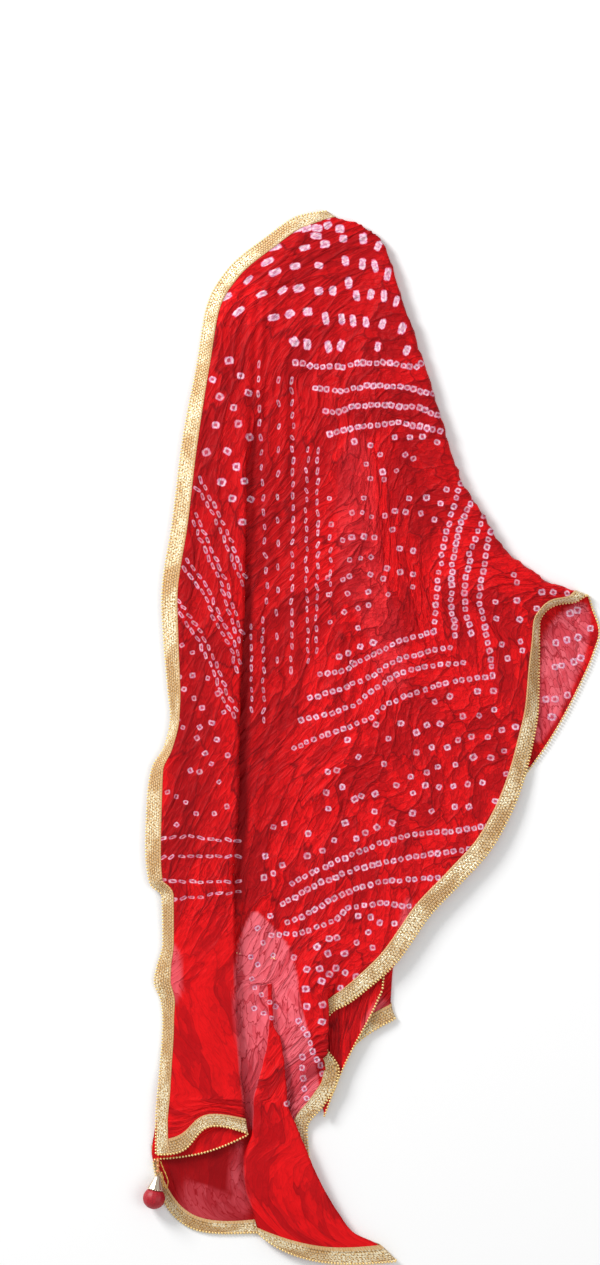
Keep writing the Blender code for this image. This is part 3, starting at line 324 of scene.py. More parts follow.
# Dots of the back layer where it shows beside the front one, and those of its hidden part
FLAP_DOTS = (4.4, ((578, 610), (570, 613), (590, 628), (567, 640), (577, 637), (555, 643),
                   (555, 667), (562, 666), (573, 662), (580, 658), (545, 699), (555, 699),
                   (567, 695), (552, 717)))
FLAP_BOX = (530.0, 596.0, 610.0, 770.0)      # left, top, right, bottom
BACK_ROWS_Y = (270, 300, 330, 420, 450, 480, 570, 600, 630, 760, 790, 820, 900, 930)
BACK_ROWS_X = (250, 600)
BACK_RADIUS, BACK_SPACING, BACK_SLANT = 3.4, 9.0, 25.0

# Places by the span that they take at each height: (y, left, right). First the sheer ones
FAN_SPANS = ((912, 252, 258), (930, 243, 276), (950, 238, 290), (975, 235, 297),
             (1000, 234, 300), (1030, 236, 308), (1060, 239, 315), (1090, 242, 319),
             (1112, 246, 312), (1128, 247, 298))
LACE_SIDE_SPANS = ((942, 172, 173), (955, 168, 180), (985, 170, 182), (1004, 172, 175))
BASE_SPANS = ((1140, 236, 240), (1160, 233, 243), (1185, 230, 245), (1205, 236, 250),
              (1214, 240, 250))
HEM_SPANS = ((1180, 188, 190), (1196, 182, 232), (1214, 184, 246), (1222, 196, 244))
FLAP_SPANS = ((604, 574, 586), (618, 556, 590), (640, 543, 588), (660, 540, 583),
              (690, 538, 571), (720, 536, 556), (742, 532, 541))
TUCKED_SPANS = ((898, 406, 411), (920, 400, 412), (945, 396, 402))
CORNER_SPANS = ((996, 381, 383), (1008, 370, 392), (1026, 360, 380))
FAINT_SPANS = ((438, 346, 368), (480, 338, 374), (560, 336, 380), (640, 368, 404),
               (690, 380, 408))
# (part of the sheet, strength, pixels over which the patch fades, spans)
SHEER_PATCHES = (
    ("fan", 1.0, 2.6, FAN_SPANS), ("front", 0.7, 5.0, LACE_SIDE_SPANS),
    ("low", 0.55, 5.0, BASE_SPANS), ("low", 0.35, 14.0, HEM_SPANS),
    ("front", 0.6, 5.0, TUCKED_SPANS), ("front", 0.12, 12.0, FAINT_SPANS),
    ("back", 1.0, 5.0, FLAP_SPANS), ("back", 0.7, 5.0, CORNER_SPANS),
)
# Places painted darker, for the shade that falls there: the low base, the valley beside the pleat,
# a hollow, the top, the strip left of the pleat and the shadowed gap beside the pleat
SHADED_SPANS = ((1138, 160, 246), (1230, 150, 252))
VALLEY_SHADE_SPANS = ((360, 262, 266), (420, 252, 300), (520, 248, 318), (600, 246, 312),
               (700, 243, 300), (800, 242, 286), (880, 238, 262), (930, 240, 250))
HOLLOW_SHADE_SPANS = ((425, 398, 430), (450, 392, 452), (480, 396, 458), (520, 400, 448),
              (560, 402, 430))
GAP_SHADOW_SPANS = ((585, 244, 254), (650, 241, 254), (760, 238, 250), (850, 236, 248),
             (900, 236, 244))
STRIP_SHADE_SPANS = ((330, 205, 262), (450, 192, 244), (560, 180, 236), (640, 174, 228),
              (760, 168, 222), (860, 164, 215))
TOP_SHADE_SPANS = ((222, 285, 350), (260, 250, 385), (340, 222, 402), (430, 205, 420))
# (part of the sheet, strength, pixels over which the painted shade fades, spans)
PAINTED_SHADE_PATCHES = (
    ("open", 0.42, 26.0, VALLEY_SHADE_SPANS), ("open", 0.42, 24.0, HOLLOW_SHADE_SPANS),
    ("open", 0.44, 36.0, TOP_SHADE_SPANS), ("open", 1.0, 6.0, GAP_SHADOW_SPANS),
    ("strip", 0.46, 22.0, STRIP_SHADE_SPANS), ("base", 1.0, 8.0, SHADED_SPANS),
)
# Where the front end has no dots: right and left of a line, below these heights
UNDOTTED_SIDE, UNDOTTED_LEFT, UNDOTTED_RIGHT, UNDOTTED_FADE = 252.0, 900.0, 1085.0, 60.0
# The plain top of the cone-shaped pleat: behind a row, between two places across
PLAIN_TOP = (12.8, 14.4, 18.8)
# The sheet that shows below the turned-up edge: (row, rows), (place, places) of its start
LOW_ROWS, LOW_PLACES, LOW_LAST = (15.3, 1.2), (8.0, 0.8), 14.5
STRIP_ROW, STRIP_PLACE = 3.0, 5.0

FRONT_COUNT, BACK_COUNT, ACROSS_COUNT = 385, 100, 186
CRINKLE_DEPTH = 0.0010      # of the folds pressed into the sheet that are shaped as mesh
PUCKER_HEIGHT = 0.0009      # of the point that each tied dot leaves in the cloth
FAINT_RADIUS, FAINT = 3.2, 0.78   # dots under this radius are fainter
SLIM_RADIUS, SLIM = 2.95, 2.2     # and under this one slim too
FILLED_RADIUS = 4.5               # dots over this radius are filled
CALM_LACE, CALM_FADE, CALM_ROWS = 0.9, 0.8, 0.3    # no relief this near the laces
BACK_RELIEF = 0.5           # of the front layer's
# More relief along the long fold: how many rows it takes, its lowest, and its heights
RUFFLE_ROWS, RUFFLE_FLOOR = 0.4, -0.3
FOLD_RUFFLE, FOLD_PUCKER = 0.0018, 0.0020
LOWEST_CLOTH, LOWEST_LACE = 0.0003, 0.0001   # heights over the floor
# Noise of the relief: repeats a metre of (across, along) in the sheet's u and v, how far it
# sways with a slow noise, a seed and a strength; creases are sharp valleys of a noise
SWAY_REPEATS, SWAY_SEED = 12.0, 4.0
CREASES = (((62.0, 0.0), (0.0, 24.0), (1.6, 0.0), 0.3, -2.4),
           ((45.0, 38.0), (-26.0, 44.0), (0.0, 1.0), 7.7, -1.9))
WAVES = ((110.0, -50.0), (0.0, 80.0), (0.0, 0.0), 2.2, 0.5)
RELIEF_MIDDLE, RELIEF_LOW, RELIEF_HIGH = 0.9, -1.2, 1.0
# How unevenly the dots are tied
DOT_DRIFT, DOT_TURN = 0.5, 0.20
DOT_SIZES, DOT_STRENGTHS, DOT_WIDTHS = (0.80, 1.05), (0.55, 1.0), (0.9, 1.2)
LOOSE_TURN, FILLED_TURN = 0.3, -0.45
PUCKER_FALL = 1.3           # how fast a dot's point falls off
FARTHEST_DOT = 6.0          # in radii
# Broad soft folds of the front layer: (height in millimetres, half width, points) in pixels
SOFT_FOLDS = (
    (3.0, 9.0, ((360, 440), (356, 520), (348, 610), (330, 700))),
    (-3.4, 12.0, ((300, 380), (285, 520), (276, 640), (270, 760))),
    (-3.2, 12.0, ((395, 425), (425, 470), (440, 520), (428, 590))),
    (1.8, 10.0, ((430, 420), (455, 470), (485, 540), (500, 600))),
    (2.0, 10.0, ((232, 560), (224, 680), (218, 800), (215, 900))),
    (-1.8, 9.0, ((205, 420), (198, 540), (194, 660), (188, 780))),
    (1.6, 12.0, ((290, 800), (340, 770), (400, 730), (470, 705))),
    (-1.6, 10.0, ((300, 845), (350, 810), (420, 785), (480, 775))),
    (1.5, 9.0, ((205, 960), (208, 1020), (204, 1080))),
    (-1.4, 8.0, ((222, 940), (225, 1010), (224, 1085))),
    (1.8, 10.0, ((280, 270), (310, 300), (330, 350), (345, 400))),
    (-1.6, 10.0, ((330, 250), (365, 300), (385, 350))),
    (1.6, 10.0, ((275, 1120), (290, 1170), (318, 1220), (345, 1245))),
    (-1.2, 9.0, ((262, 1140), (272, 1190), (295, 1232))),
)
# Families of creases: (repeats a metre across and along, slant, how much they wander)
FACETS = (((34.0, 11.0), 0.10, 1.1), ((96.0, 34.0), 0.34, 1.5), ((104.0, 40.0), -0.32, 1.5))
# How much each family's facets add to the painted light and shade of the cloth
FACET_SHADES = (0.5, 0.3, 0.2)
FINE_GRAIN, BROAD_PATCHES = ((420.0, 160.0), 0.12), (16.0, 6.0)
WIDE_CREASE, SLANT_CREASE, VEIN = 0.045, 0.08, 0.07      # their widths
SHADE_SPAN = (0.30, 0.66)
CALM_CRUMPLE, CALM_PATCH = 0.62, 0.08
CREASE_SHADE_COATS = (0.46, 0.74, 0.82)    # strength of the painted shade in slanting and wide creases and in the shaded places
VEIN_COAT = 0.85
# Relief by (width, height): wide creases, slanting ones and dots, then the fine grain
WIDE_RELIEF, SLANT_RELIEF, DOT_RELIEF, FINE_RELIEF = 0.20, (0.35, 0.45), (1.7, 0.6), 0.25
CREASE_DEPTH, STITCH_DEPTH, BUD_DEPTH = 0.0013, 0.0007, 0.0004
SQUARENESS = 3.2            # power of a dot's rounded-square outline
PULL_REPEATS, PULL = 240.0, 0.50     # how the ties pull a dot's outline about
# A dot from its middle outwards, in radii
DOT_CORE, DOT_FADE, DOT_RIM = (0.28, 0.58), (0.72, 1.0), (0.88, 1.06)
OPEN_HEART, FILLED_HEART = 0.88, 0.34
FLAT_LACE_WIDTH = 0.022
# (name, whether it runs lengthwise, its outer and its inner line)
LACES = (("left", True, 0.0, LACE_PLACE), ("right", True, LAST_PLACE, LAST_PLACE - LACE_PLACE),
         ("front", False, FRONT_END, FRONT_LACE), ("back", False, BACK_END, BACK_LACE))
LACE_BACK_COUNT, LACE_FRONT_COUNT, LACE_END_COUNT, BEAD_PATH_COUNT = 320, 520, 520, 400
STITCH_SIDE = (0.26, 0.5)   # where a stitch's round side starts and ends, from its middle
MAP_LENGTH, MAP_WIDTH, MAP_EDGE, MAP_BACK = 1.40, 0.48, 0.01, 0.50
LACE_STITCH_ROWS, LACE_STITCH = 6.0, 0.0040
BEAD_PITCH, BEAD_RADIUS = 0.0044, 0.0018
BEAD_REACH = 0.0012         # of the beads' middles beyond the outer edge

# Beads and rim of the tassel: (pitch, radius), and the rim's place along the cap and radius
CAP_BEADS, CORD_BEADS, CAP_RIM = (0.0036, 0.0012), (0.0058, 0.0027), (0.0192, 0.0106)
CORD_SIDES, CORD_STRANDS = 12, 3
# Relief of the lace across its width: (share from the outer edge, height over the cloth)
LACE_PROFILE = ((0.0, 0.0003), (0.04, 0.0008), (0.10, 0.0008), (0.16, 0.0007), (0.33, 0.00075),
                (0.50, 0.0007), (0.67, 0.00075), (0.84, 0.0007), (0.90, 0.0009), (0.96, 0.0009),
                (1.0, 0.0003))

# (name, place in metres, size in metres, power in watts)
LAMPS = (("key", (-3.1, 2.5, 2.2), 1.5, 205.0), ("fill", (1.8, -0.8, 2.8), 1.8, 26.0))
WORLD_STRENGTH = 0.52
VIEW_CENTRE = (300.0, 632.5)        # the picture's middle
VIEW_HEIGHT = 1265.0
VIEW_DISTANCE = 8.0
SENSOR = 36.0               # the camera's, in millimetres
FLOOR_HALF, FLOOR_DROP = 6.0, 0.0005


def rgb(red, green, blue):
    """A colour given on the 0 to 255 screen scale."""
    linear = [((part / 255.0 + 0.055) / 1.055) ** 2.4 if part > 10 else part / 3294.6
              for part in (red, green, blue)]
    return (*linear, 1.0)


# Lit and shaded copies of the red, painted over the crumpled facets
RED_LIT, RED_SHADED = rgb(222, 12, 18), rgb(180, 5, 14)
# A deep red for the fine grain and for the painted shade of shaded places; the crease red is
# painted shade in the creases
RED_DEEP, RED_CREASE_SHADE = rgb(132, 0, 8), rgb(112, 0, 8)
# Lit and shaded copies of the sheer pink, and its darker crease colour: partly the doubled cloth,
# partly painted shade
SHEER_LIT, SHEER_SHADED, SHEER_VEIN = rgb(230, 100, 112), rgb(206, 66, 78), rgb(150, 8, 24)
DOT_WHITE, DOT_LAVENDER = rgb(238, 204, 216), rgb(210, 150, 184)
DOT_FRINGE, DOT_HEART = rgb(216, 52, 92), rgb(186, 22, 62)
LACE_DARK, LACE_LIGHT, LACE_GAP = rgb(200, 150, 84), rgb(224, 184, 118), rgb(128, 84, 34)
# Painted glints on the lace, and its paler hem line
LACE_PAINTED_GLINT, LACE_HEM = rgb(255, 246, 214), rgb(214, 168, 112)
BUD_DARK, BUD_BRIGHT = rgb(146, 0, 20), rgb(184, 6, 34)
# (colour, metallic, roughness)
GOLD_BEAD, CORD_BEAD = (rgb(240, 208, 140), 0.5, 0.32), (rgb(226, 150, 104), 0.55, 0.25)
SILVER, GOLD_CORD = (rgb(206, 190, 168), 0.9, 0.30), (rgb(214, 162, 84), 0.8, 0.3)
PALE_FLOOR = (rgb(246, 246, 246), 0.0, 0.9)


def smoothstep(value):
    value = np.clip(value, 0.0, 1.0)
    return value * value * (3.0 - 2.0 * value)


def steady_slopes(knots, values):
    """Slopes for a curve that never overshoots its own points."""
    steps = np.diff(knots)
    rates = np.diff(values) / steps
    slopes = np.zeros(len(knots))
    slopes[0], slopes[-1] = rates[0], rates[-1]
    same_way = rates[:-1] * rates[1:] > 0.0
    left_weight = 2.0 * steps[1:] + steps[:-1]
    right_weight = steps[1:] + 2.0 * steps[:-1]
    safe_left = np.where(same_way, rates[:-1], 1.0)
    safe_right = np.where(same_way, rates[1:], 1.0)
    mean = (left_weight + right_weight) / (left_weight / safe_left + right_weight / safe_right)
    slopes[1:-1] = np.where(same_way, mean, 0.0)
    return slopes


def read_table(table, rows, column=1):
    """Smooth value of a table's column at each of the rows."""
    knots = np.array([entry[0] for entry in table], float)
    values = np.array([entry[column] for entry in table], float)
    slopes = steady_slopes(knots, values)
    rows = np.clip(rows, knots[0], knots[-1])
    index = np.clip(np.searchsorted(knots, rows, side="right") - 1, 0, len(knots) - 2)
    step = knots[index + 1] - knots[index]
    part = (rows - knots[index]) / step
    return ((2 * part**3 - 3 * part**2 + 1) * values[index]
            + (part**3 - 2 * part**2 + part) * step * slopes[index]
            + (3 * part**2 - 2 * part**3) * values[index + 1]
            + (part**3 - part**2) * step * slopes[index + 1])


def line_points(table, rows):
    return np.stack([read_table(table, rows, 1), read_table(table, rows, 2)], axis=-1)


def mix(first, second, share):
    share = np.asarray(share, float)
    if share.ndim == 1:
        share = share[:, None]
    return first + (second - first) * share


def with_fold(table, rows, plain):
    """A fold line where its table runs, easing from the plain place before it."""
    start = table[0][0]
    blend = smoothstep(rows - start + 1.0)
    return mix(plain, line_points(table, np.maximum(rows, start)), blend)


def inner_line(edge_table, lace_table, beside_table, rows, inward_sign):
    """The lace's inner line, square to the edge, or along the long fold beside it."""
    edge = line_points(edge_table, rows)
    ahead = line_points(edge_table, np.minimum(rows + NET_PROBE, FRONT_END))
    behind = line_points(edge_table, np.maximum(rows - NET_PROBE, BACK_END))
    run = (ahead - behind) * np.where(rows < FOLD, -1.0, 1.0)[:, None]
    run /= np.linalg.norm(run, axis=1, keepdims=True) + 1e-9
    normal = np.stack([run[:, 1], -run[:, 0]], axis=-1) * inward_sign
    beside = line_points(beside_table, rows) - edge
    beside /= np.linalg.norm(beside, axis=1, keepdims=True)
    near_fold = smoothstep(1.6 - 1.6 * np.abs(rows))[:, None]
    normal = normal * (1.0 - near_fold) + beside * near_fold
    square = np.maximum(np.sum(normal * beside, axis=1, keepdims=True), 0.5)
    near_end = smoothstep((BACK_CORNER - rows) / 0.6)[:, None]
    normal = normal * (1.0 - near_end) + beside / square * near_end
    return edge + normal * read_table(lace_table, rows, 1)[:, None]


def control_net(rows):
    """Control points of the sheet, one line of them for each row."""
    left, right, middle, arm, tuck_outer, tuck_inner = (
        line_points(table, rows) for table in
        (LEFT_EDGE, RIGHT_EDGE, MIDDLE_LINE, ARM_LINE, TUCK_OUTER, TUCK_INNER))
    left_inner = inner_line(LEFT_EDGE, LEFT_LACE, MIDDLE_LINE, rows, 1.0)
    right_inner = inner_line(RIGHT_EDGE, RIGHT_LACE, TUCK_INNER, rows, -1.0)
    bow = SHOULDER_BOW * smoothstep(1.0 - np.abs(rows) / 1.6)

    def between(share):
        place = mix(left_inner, middle, share)
        lift = bow * 4.0 * share * (1.0 - share)
        return place + np.stack([0.45 * lift, -0.9 * lift], axis=-1)

    plain = {name: between(share) for name, share in LEFT_SHARES.items()}
    pleat_outer, pleat_inner, cone_left, cone_right = (
        with_fold(table, rows, plain[name]) for table, name in
        ((PLEAT_OUTER, "pleat_outer"), (PLEAT_INNER, "pleat_inner"),
         (CONE_LEFT, "cone_left"), (CONE_RIGHT, "cone_right")))
    gap = np.array([UNDER_FOLD_GAP, 0.0])
    cone_under_left = with_fold(CONE_UNDER, rows, plain["cone_under_left"] + gap) - gap
    cone_under_right = with_fold(CONE_UNDER, rows, plain["cone_under_right"] - gap) + gap

    back = BACK_HEIGHT[0][1]
    turn = smoothstep((rows + FOLD_TURN) / (2.0 * FOLD_TURN))

    low, mid, outer = (back + (read_table(table, rows) - back) * turn for table in
                       (FRONT_HEIGHT_LEFT, FRONT_HEIGHT_MIDDLE, FRONT_HEIGHT_RIGHT))
    pleat, cone, tuck, zigzag = (read_table(table, rows) for table in
                                 (PLEAT_RISE, CONE_RISE, TUCK_RISE, ZIGZAG_RISE))
    at_back = rows < FOLD
    tuck_top = np.where(at_back, outer, outer + 2.0 * tuck)
    tuck_mid = np.where(at_back, outer + zigzag, outer + tuck)
    tuck_low = np.where(at_back, outer + 2.0 * zigzag, outer)
    strip = low + 2.0 * pleat
    left_drop = np.minimum(read_table(LEFT_LACE, rows, 2), strip - back)
    right_drop = np.minimum(read_table(RIGHT_LACE, rows, 2), tuck_low - back)

    def fold_pair(line, other, side, first_height, second_height):
        """Two control points of a fold. Side is 1 for a fold on the right."""
        apart = line[:, 0] - other[:, 0]
        folded = np.where(apart * side > 0.0, smoothstep(np.abs(apart) / 9.0), 0.0)
        lip = FOLD_LIP * np.clip(np.abs(apart) / 7.0, 0.2, 1.0)
        lead = np.where(side > 0, 2.0 * folded - 1.0, -1.0) * lip
        trail = np.where(side > 0, 1.0, 1.0 - 2.0 * folded) * lip
        return [(np.column_stack([line[:, 0] + shift, line[:, 1]]), height)
                for shift, height in ((lead, first_height), (trail, second_height))]

    end_share = smoothstep(rows - 15.0)
    # Lines between the folds, which ease to their own places near the front end
    strip_one, strip_two, pleat_middle, base_one, base_two, base_three, cone_one, cone_two = (
        mix(mix(first, second, share), line_points(table, np.maximum(rows, table[0][0])),
            end_share)
        for first, second, share, table in (
            (left_inner, pleat_outer, 0.30, STRIP_FIRST),
            (left_inner, pleat_outer, 0.62, STRIP_SECOND),
            (pleat_outer, pleat_inner, 0.5, PLEAT_MIDDLE),
            (pleat_inner, cone_under_left, 0.25, BASE_FIRST),
            (pleat_inner, cone_under_left, 0.5, BASE_SECOND),
            (pleat_inner, cone_under_left, 0.75, BASE_THIRD),
            (cone_left, cone_right, 0.33, CONE_FIRST), (cone_left, cone_right, 0.67, CONE_SECOND)))
    zig_share = smoothstep((-7.5 - rows) / 0.9)
    zig_two = mix(mix(tuck_outer, tuck_inner, 0.5), line_points(ZIGZAG_MIDDLE, rows), zig_share)
    reach = np.linalg.norm(tuck_inner - right_inner, axis=1)
    last_share = np.minimum(0.5, LAST_REACH / np.maximum(reach, 1.0))
    last_share += (0.5 - last_share) * smoothstep((3.2 - np.abs(rows)) / 2.2)
    last_share = last_share[:, None]
    last_line = right_inner + (tuck_inner - right_inner) * last_share
    last_line[:, 1] += ARM_SAG * smoothstep(1.0 - np.abs(rows) / 3.0)
    last_line = mix(last_line, line_points(ZIGZAG_LAST, rows), zig_share)
    flat_end = smoothstep((rows - 15.85) / 0.45)

    def sink(height, share):
        """Bring a height down towards the fan's own near the front end."""
        return height + (mid + (outer - mid) * share - height) * flat_end

    net = [
        (left, strip - left_drop),
        (mix(left, left_inner, LACE_HALFWAY), strip - LACE_HALFWAY * left_drop),
        (left_inner, strip), (strip_one, strip), (strip_two, strip),
        *fold_pair(pleat_outer, pleat_inner, 1, strip, low + pleat),
        (pleat_middle, low + pleat),
        *fold_pair(pleat_inner, pleat_outer, -1, low + pleat, low),
        (base_one, low), (base_two, low), (base_three, low),
        *fold_pair(cone_under_left, cone_left, 1, low, low + cone),
        *fold_pair(cone_left, cone_under_left, -1, low + cone, low + 2.0 * cone),
        (cone_one, low + 2.0 * cone), (cone_two, low + 2.0 * cone),
        *fold_pair(cone_right, cone_under_right, 1, low + 2.0 * cone, low + cone),
        *fold_pair(cone_under_right, cone_right, -1, low + cone, low),
        (middle, mid),
        (mix(middle, arm, 0.5), sink(mid + (tuck_top - mid) * 0.85, 0.1)),
        (arm, sink(tuck_top, 0.2)), (mix(arm, tuck_outer, 0.5), sink(tuck_top, 0.3)),
        *fold_pair(tuck_outer, tuck_inner, 1, sink(tuck_top, 0.4), sink(tuck_mid, 0.4)),
        (zig_two, sink(tuck_mid, 0.5)),
        *fold_pair(tuck_inner, tuck_outer, -1, sink(tuck_mid, 0.5), sink(tuck_low, 0.5)),
        (last_line, sink(tuck_low, 0.75)), (right_inner, tuck_low),
        (mix(right, right_inner, LACE_HALFWAY), tuck_low - 0.55 * right_drop),
        (right, tuck_low - right_drop),
    ]
    return np.stack([np.column_stack(pair) for pair in net], axis=1)


def spline_weights(places, count):
    """Weights of a clamped cubic spline's control points at each place across."""
    spans = count - 3
    knots = np.concatenate([np.zeros(3), np.arange(spans + 1), np.full(3, spans)]).astype(float)
    places = np.clip(places, 0.0, spans - 1e-9)
    weights = np.zeros((len(places), len(knots) - 1))
    weights[np.arange(len(places)), np.searchsorted(knots, places, side="right") - 1] = 1.0
    for degree in range(1, 4):
        raised = np.zeros((len(places), weights.shape[1] - 1))
        for index in range(raised.shape[1]):
            before = knots[index + degree] - knots[index]
            after = knots[index + degree + 1] - knots[index + 1]
            if before > 0.0:
                raised[:, index] += (places - knots[index]) / before * weights[:, index]
            if after > 0.0:
                share = (knots[index + degree + 1] - places) / after
                raised[:, index] += share * weights[:, index + 1]
        weights = raised
    return weights


def gathers(x, y):
    """Height in millimetres that the lengthwise gathers add at a place of the picture."""
    left = read_table(FAN, y.ravel(), 1).reshape(y.shape)
    right = read_table(FAN, y.ravel(), 2).reshape(y.shape)
    share = (x - left) / (right - left)
    share = share + GATHER_SWAY * np.sin(y / 61.0 + 2.0 * np.sin(y / 143.0))
    height = np.zeros_like(x)
    for number, (centre, half_width, rise) in enumerate(GATHERS):
        swell = 0.75 + 0.25 * np.sin(y / 87.0 + 1.7 * number)
        height += rise * swell * np.exp(-((share - centre) / half_width) ** 2)
    return height * read_table(GATHER_STRENGTH, y.ravel(), 1).reshape(y.shape)


def place_mm(x, y, height):
    """Places of the picture plane at heights in millimetres, in metres."""
    return np.stack([(x - CENTRE_X) * PIXEL, (CENTRE_Y - y) * PIXEL, height * 0.001], axis=-1)


def lifted(points, rows):
    """The net's picture places in metres, with the gathers that the front layer has."""
    turn = smoothstep((rows + FOLD_TURN) / (2.0 * FOLD_TURN))
    height = points[..., 2] + gathers(points[..., 0], points[..., 1]) * turn
    return place_mm(points[..., 0], points[..., 1], height)


def sheet_points(rows, places):
    """Points of the sheet's middle surface in metres, for rows and places across."""
    rows = np.asarray(rows, float)
    net = control_net(rows)
    weights = spline_weights(np.asarray(places, float), net.shape[1])
    return lifted(np.einsum("pc,rck->rpk", weights, net), rows[:, None])


def grid_points(rows, places):
    """Points of the sheet where each row may have places of its own."""
    net = control_net(rows.ravel())
    weights = spline_weights(places.ravel(), net.shape[1])
    points = np.einsum("nc,nck->nk", weights, net)
    return lifted(points, rows.ravel()).reshape(*rows.shape, 3)


def smooth_path(points, count):
    knots = np.arange(len(points), dtype=float)
    table = [(knot, *point) for knot, point in zip(knots, points)]
    places = np.linspace(0.0, knots[-1], count)
    return np.stack([read_table(table, places, column) for column in (1, 2, 3)], axis=-1)


def spread(measure, knots, count):
    """Places that share out a measure, given between neighbouring knots, in equal parts."""
    total = np.concatenate([[0.0], np.cumsum(measure)])
    return np.interp(np.linspace(0.0, total[-1], count), total, knots)


def even_rows(first, last, count):
    knots = np.linspace(first, last, 400)
    points = sheet_points(knots, np.linspace(0.0, LAST_PLACE, 24))
    step = np.linalg.norm(np.diff(points, axis=0), axis=-1)
    return spread(step.mean(axis=1) + 0.35 * step.max(axis=1) + 0.0006, knots, count)


def even_places(count):
    knots = np.linspace(0.0, LAST_PLACE, 33 * 24 + 1)
    points = sheet_points(np.linspace(BACK_END, FRONT_END, 57), knots)
    step = np.linalg.norm(np.diff(points, axis=1), axis=-1)
    return spread(step.mean(axis=0) + 0.5 * step.max(axis=0) + 0.00004, knots, count)


def surface(sample, rows, places, probe):
    """Points of the sheet and the directions of its right side, as a sampler reads them."""
    near, far = (np.clip(rows + step, BACK_END, FRONT_END) for step in (-probe, probe))
    left, right = (np.clip(places + step, 0.0, LAST_PLACE) for step in (-probe, probe))
    normal = np.cross(sample(far, places) - sample(near, places),
                      sample(rows, right) - sample(rows, left))
    return sample(rows, places), normal / (np.linalg.norm(normal, axis=-1, keepdims=True) + TINY)


def path_reach(path):
    """Distance along a path at each of its points."""
    steps = np.linalg.norm(np.diff(path, axis=0), axis=-1)
    return np.concatenate([[0.0], np.cumsum(steps)])


def sheet_metres(points):
    """Distance across and along the sheet of each point of its grid, in metres."""
    across = np.linalg.norm(np.diff(points, axis=1), axis=-1)
    across = np.concatenate([np.zeros((len(points), 1)), np.cumsum(across, axis=1)], axis=1)
    across -= across[:, -1:] / 2.0
    along = np.linalg.norm(np.diff(points, axis=0), axis=-1).mean(axis=1)
    along = np.concatenate([[0.0], np.cumsum(along)])
    return across, np.repeat(along[:, None], points.shape[1], axis=1)


def crinkle(across, along):
    """Soft random relief, drawn out along the sheet."""
    relief = np.empty(across.shape)
    for index, (u, v) in enumerate(zip(across.ravel(), along.ravel())):
        sway = noise.noise((u * SWAY_REPEATS, v * SWAY_REPEATS, SWAY_SEED))
        depths = [strength * noise.noise((u * side[0] + v * side[1] + sway * swayed[0],
                                          u * ahead[0] + v * ahead[1] + sway * swayed[1], seed))
                  for side, ahead, swayed, seed, strength in CREASES + (WAVES,)]
        relief.flat[index] = RELIEF_MIDDLE - abs(depths[0]) - abs(depths[1]) + depths[2]
    return np.clip(relief, RELIEF_LOW, RELIEF_HIGH)


def picture_place(points):
    return np.stack([points[..., 0] / PIXEL + CENTRE_X, CENTRE_Y - points[..., 1] / PIXEL],
                    axis=-1)


def row_dots(radius, spacing, knots):
    """Dots evenly along a line through the knots: (x, y, radius, direction)."""
    knots = np.array(knots, float)
    total = path_reach(knots)
    count = max(2, int(round(total[-1] / spacing)) + 1)
    dots = []
    for reach in np.linspace(0.0, total[-1], count):
        x, y = (np.interp(reach, total, knots[:, axis]) for axis in range(2))
        span = min(np.searchsorted(total, reach, side="right") - 1, len(knots) - 2)
        dots.append((x, y, radius, math.atan2(*(knots[span + 1] - knots[span])[::-1])))
    return dots


def front_dots():
    dots = [dot for row in DOT_ROWS for dot in row_dots(*row)]
    for radius, places in DOT_GROUPS + (PINWHEELS,):
        dots += [(x, y, radius, LOOSE_TURN * math.sin(x + y) if radius < FILLED_RADIUS else
                  FILLED_TURN * min(max((330.0 - x) / 60.0, -0.3), 1.0)) for x, y in places]
    return dots


def filled_width(x, y):
    """How much wider than tall a filled dot is: wide at the top left, narrow at the right."""
    return min(max(1.1 + (330.0 - x) / 55.0 - (y - 250.0) / 110.0, 0.55), 2.2)


def back_dots():
    radius, places = FLAP_DOTS
    left, top, right, bottom = FLAP_BOX
    dots = [(x, y, radius, 0.0) for x, y in places]
    for y in BACK_ROWS_Y:
        ends = ((BACK_ROWS_X[0], y), (BACK_ROWS_X[1], y - BACK_SLANT))
        dots += [dot for dot in row_dots(BACK_RADIUS, BACK_SPACING, ends)
                 if not (left < dot[0] < right and top < dot[1] < bottom)]
    return dots


def uneven(dots, seed):
    """The same dots a little out of place, size and turn, each with a strength and a
    slimness."""
    chance = random.Random(seed)
    return [(x + chance.gauss(0.0, DOT_DRIFT), y + chance.gauss(0.0, DOT_DRIFT),
             radius * chance.uniform(*DOT_SIZES), turn + chance.gauss(0.0, DOT_TURN),
             chance.uniform(*DOT_STRENGTHS) * (FAINT if radius < FAINT_RADIUS else 1.0)
             + (1.0 if radius > FILLED_RADIUS else 0.0),
             chance.uniform(*DOT_WIDTHS) * (SLIM if radius < SLIM_RADIUS else 1.0)
             * (filled_width(x, y) if radius > FILLED_RADIUS else 1.0))
            for x, y, radius, turn in dots]


def nearest_dots(places, dots, count):
    tree = kdtree.KDTree(len(dots))
    for index, dot in enumerate(dots):
        tree.insert((dot[0], dot[1], 0.0), index)
    tree.balance()
    return np.array([[item[1] for item in tree.find_n((x, y, 0.0), count)] for x, y in places])


def puckers(places, dots):
    """Height of the cloth's points over its dots, from 0 to 1."""
    table = np.array(dots)
    dot = table[nearest_dots(places, dots, 1)[:, 0]]
    reach = np.linalg.norm(places - dot[:, :2], axis=-1) / dot[:, 2]
    return np.minimum(dot[:, 4], 1.0) * np.exp(-PUCKER_FALL * reach ** 2)


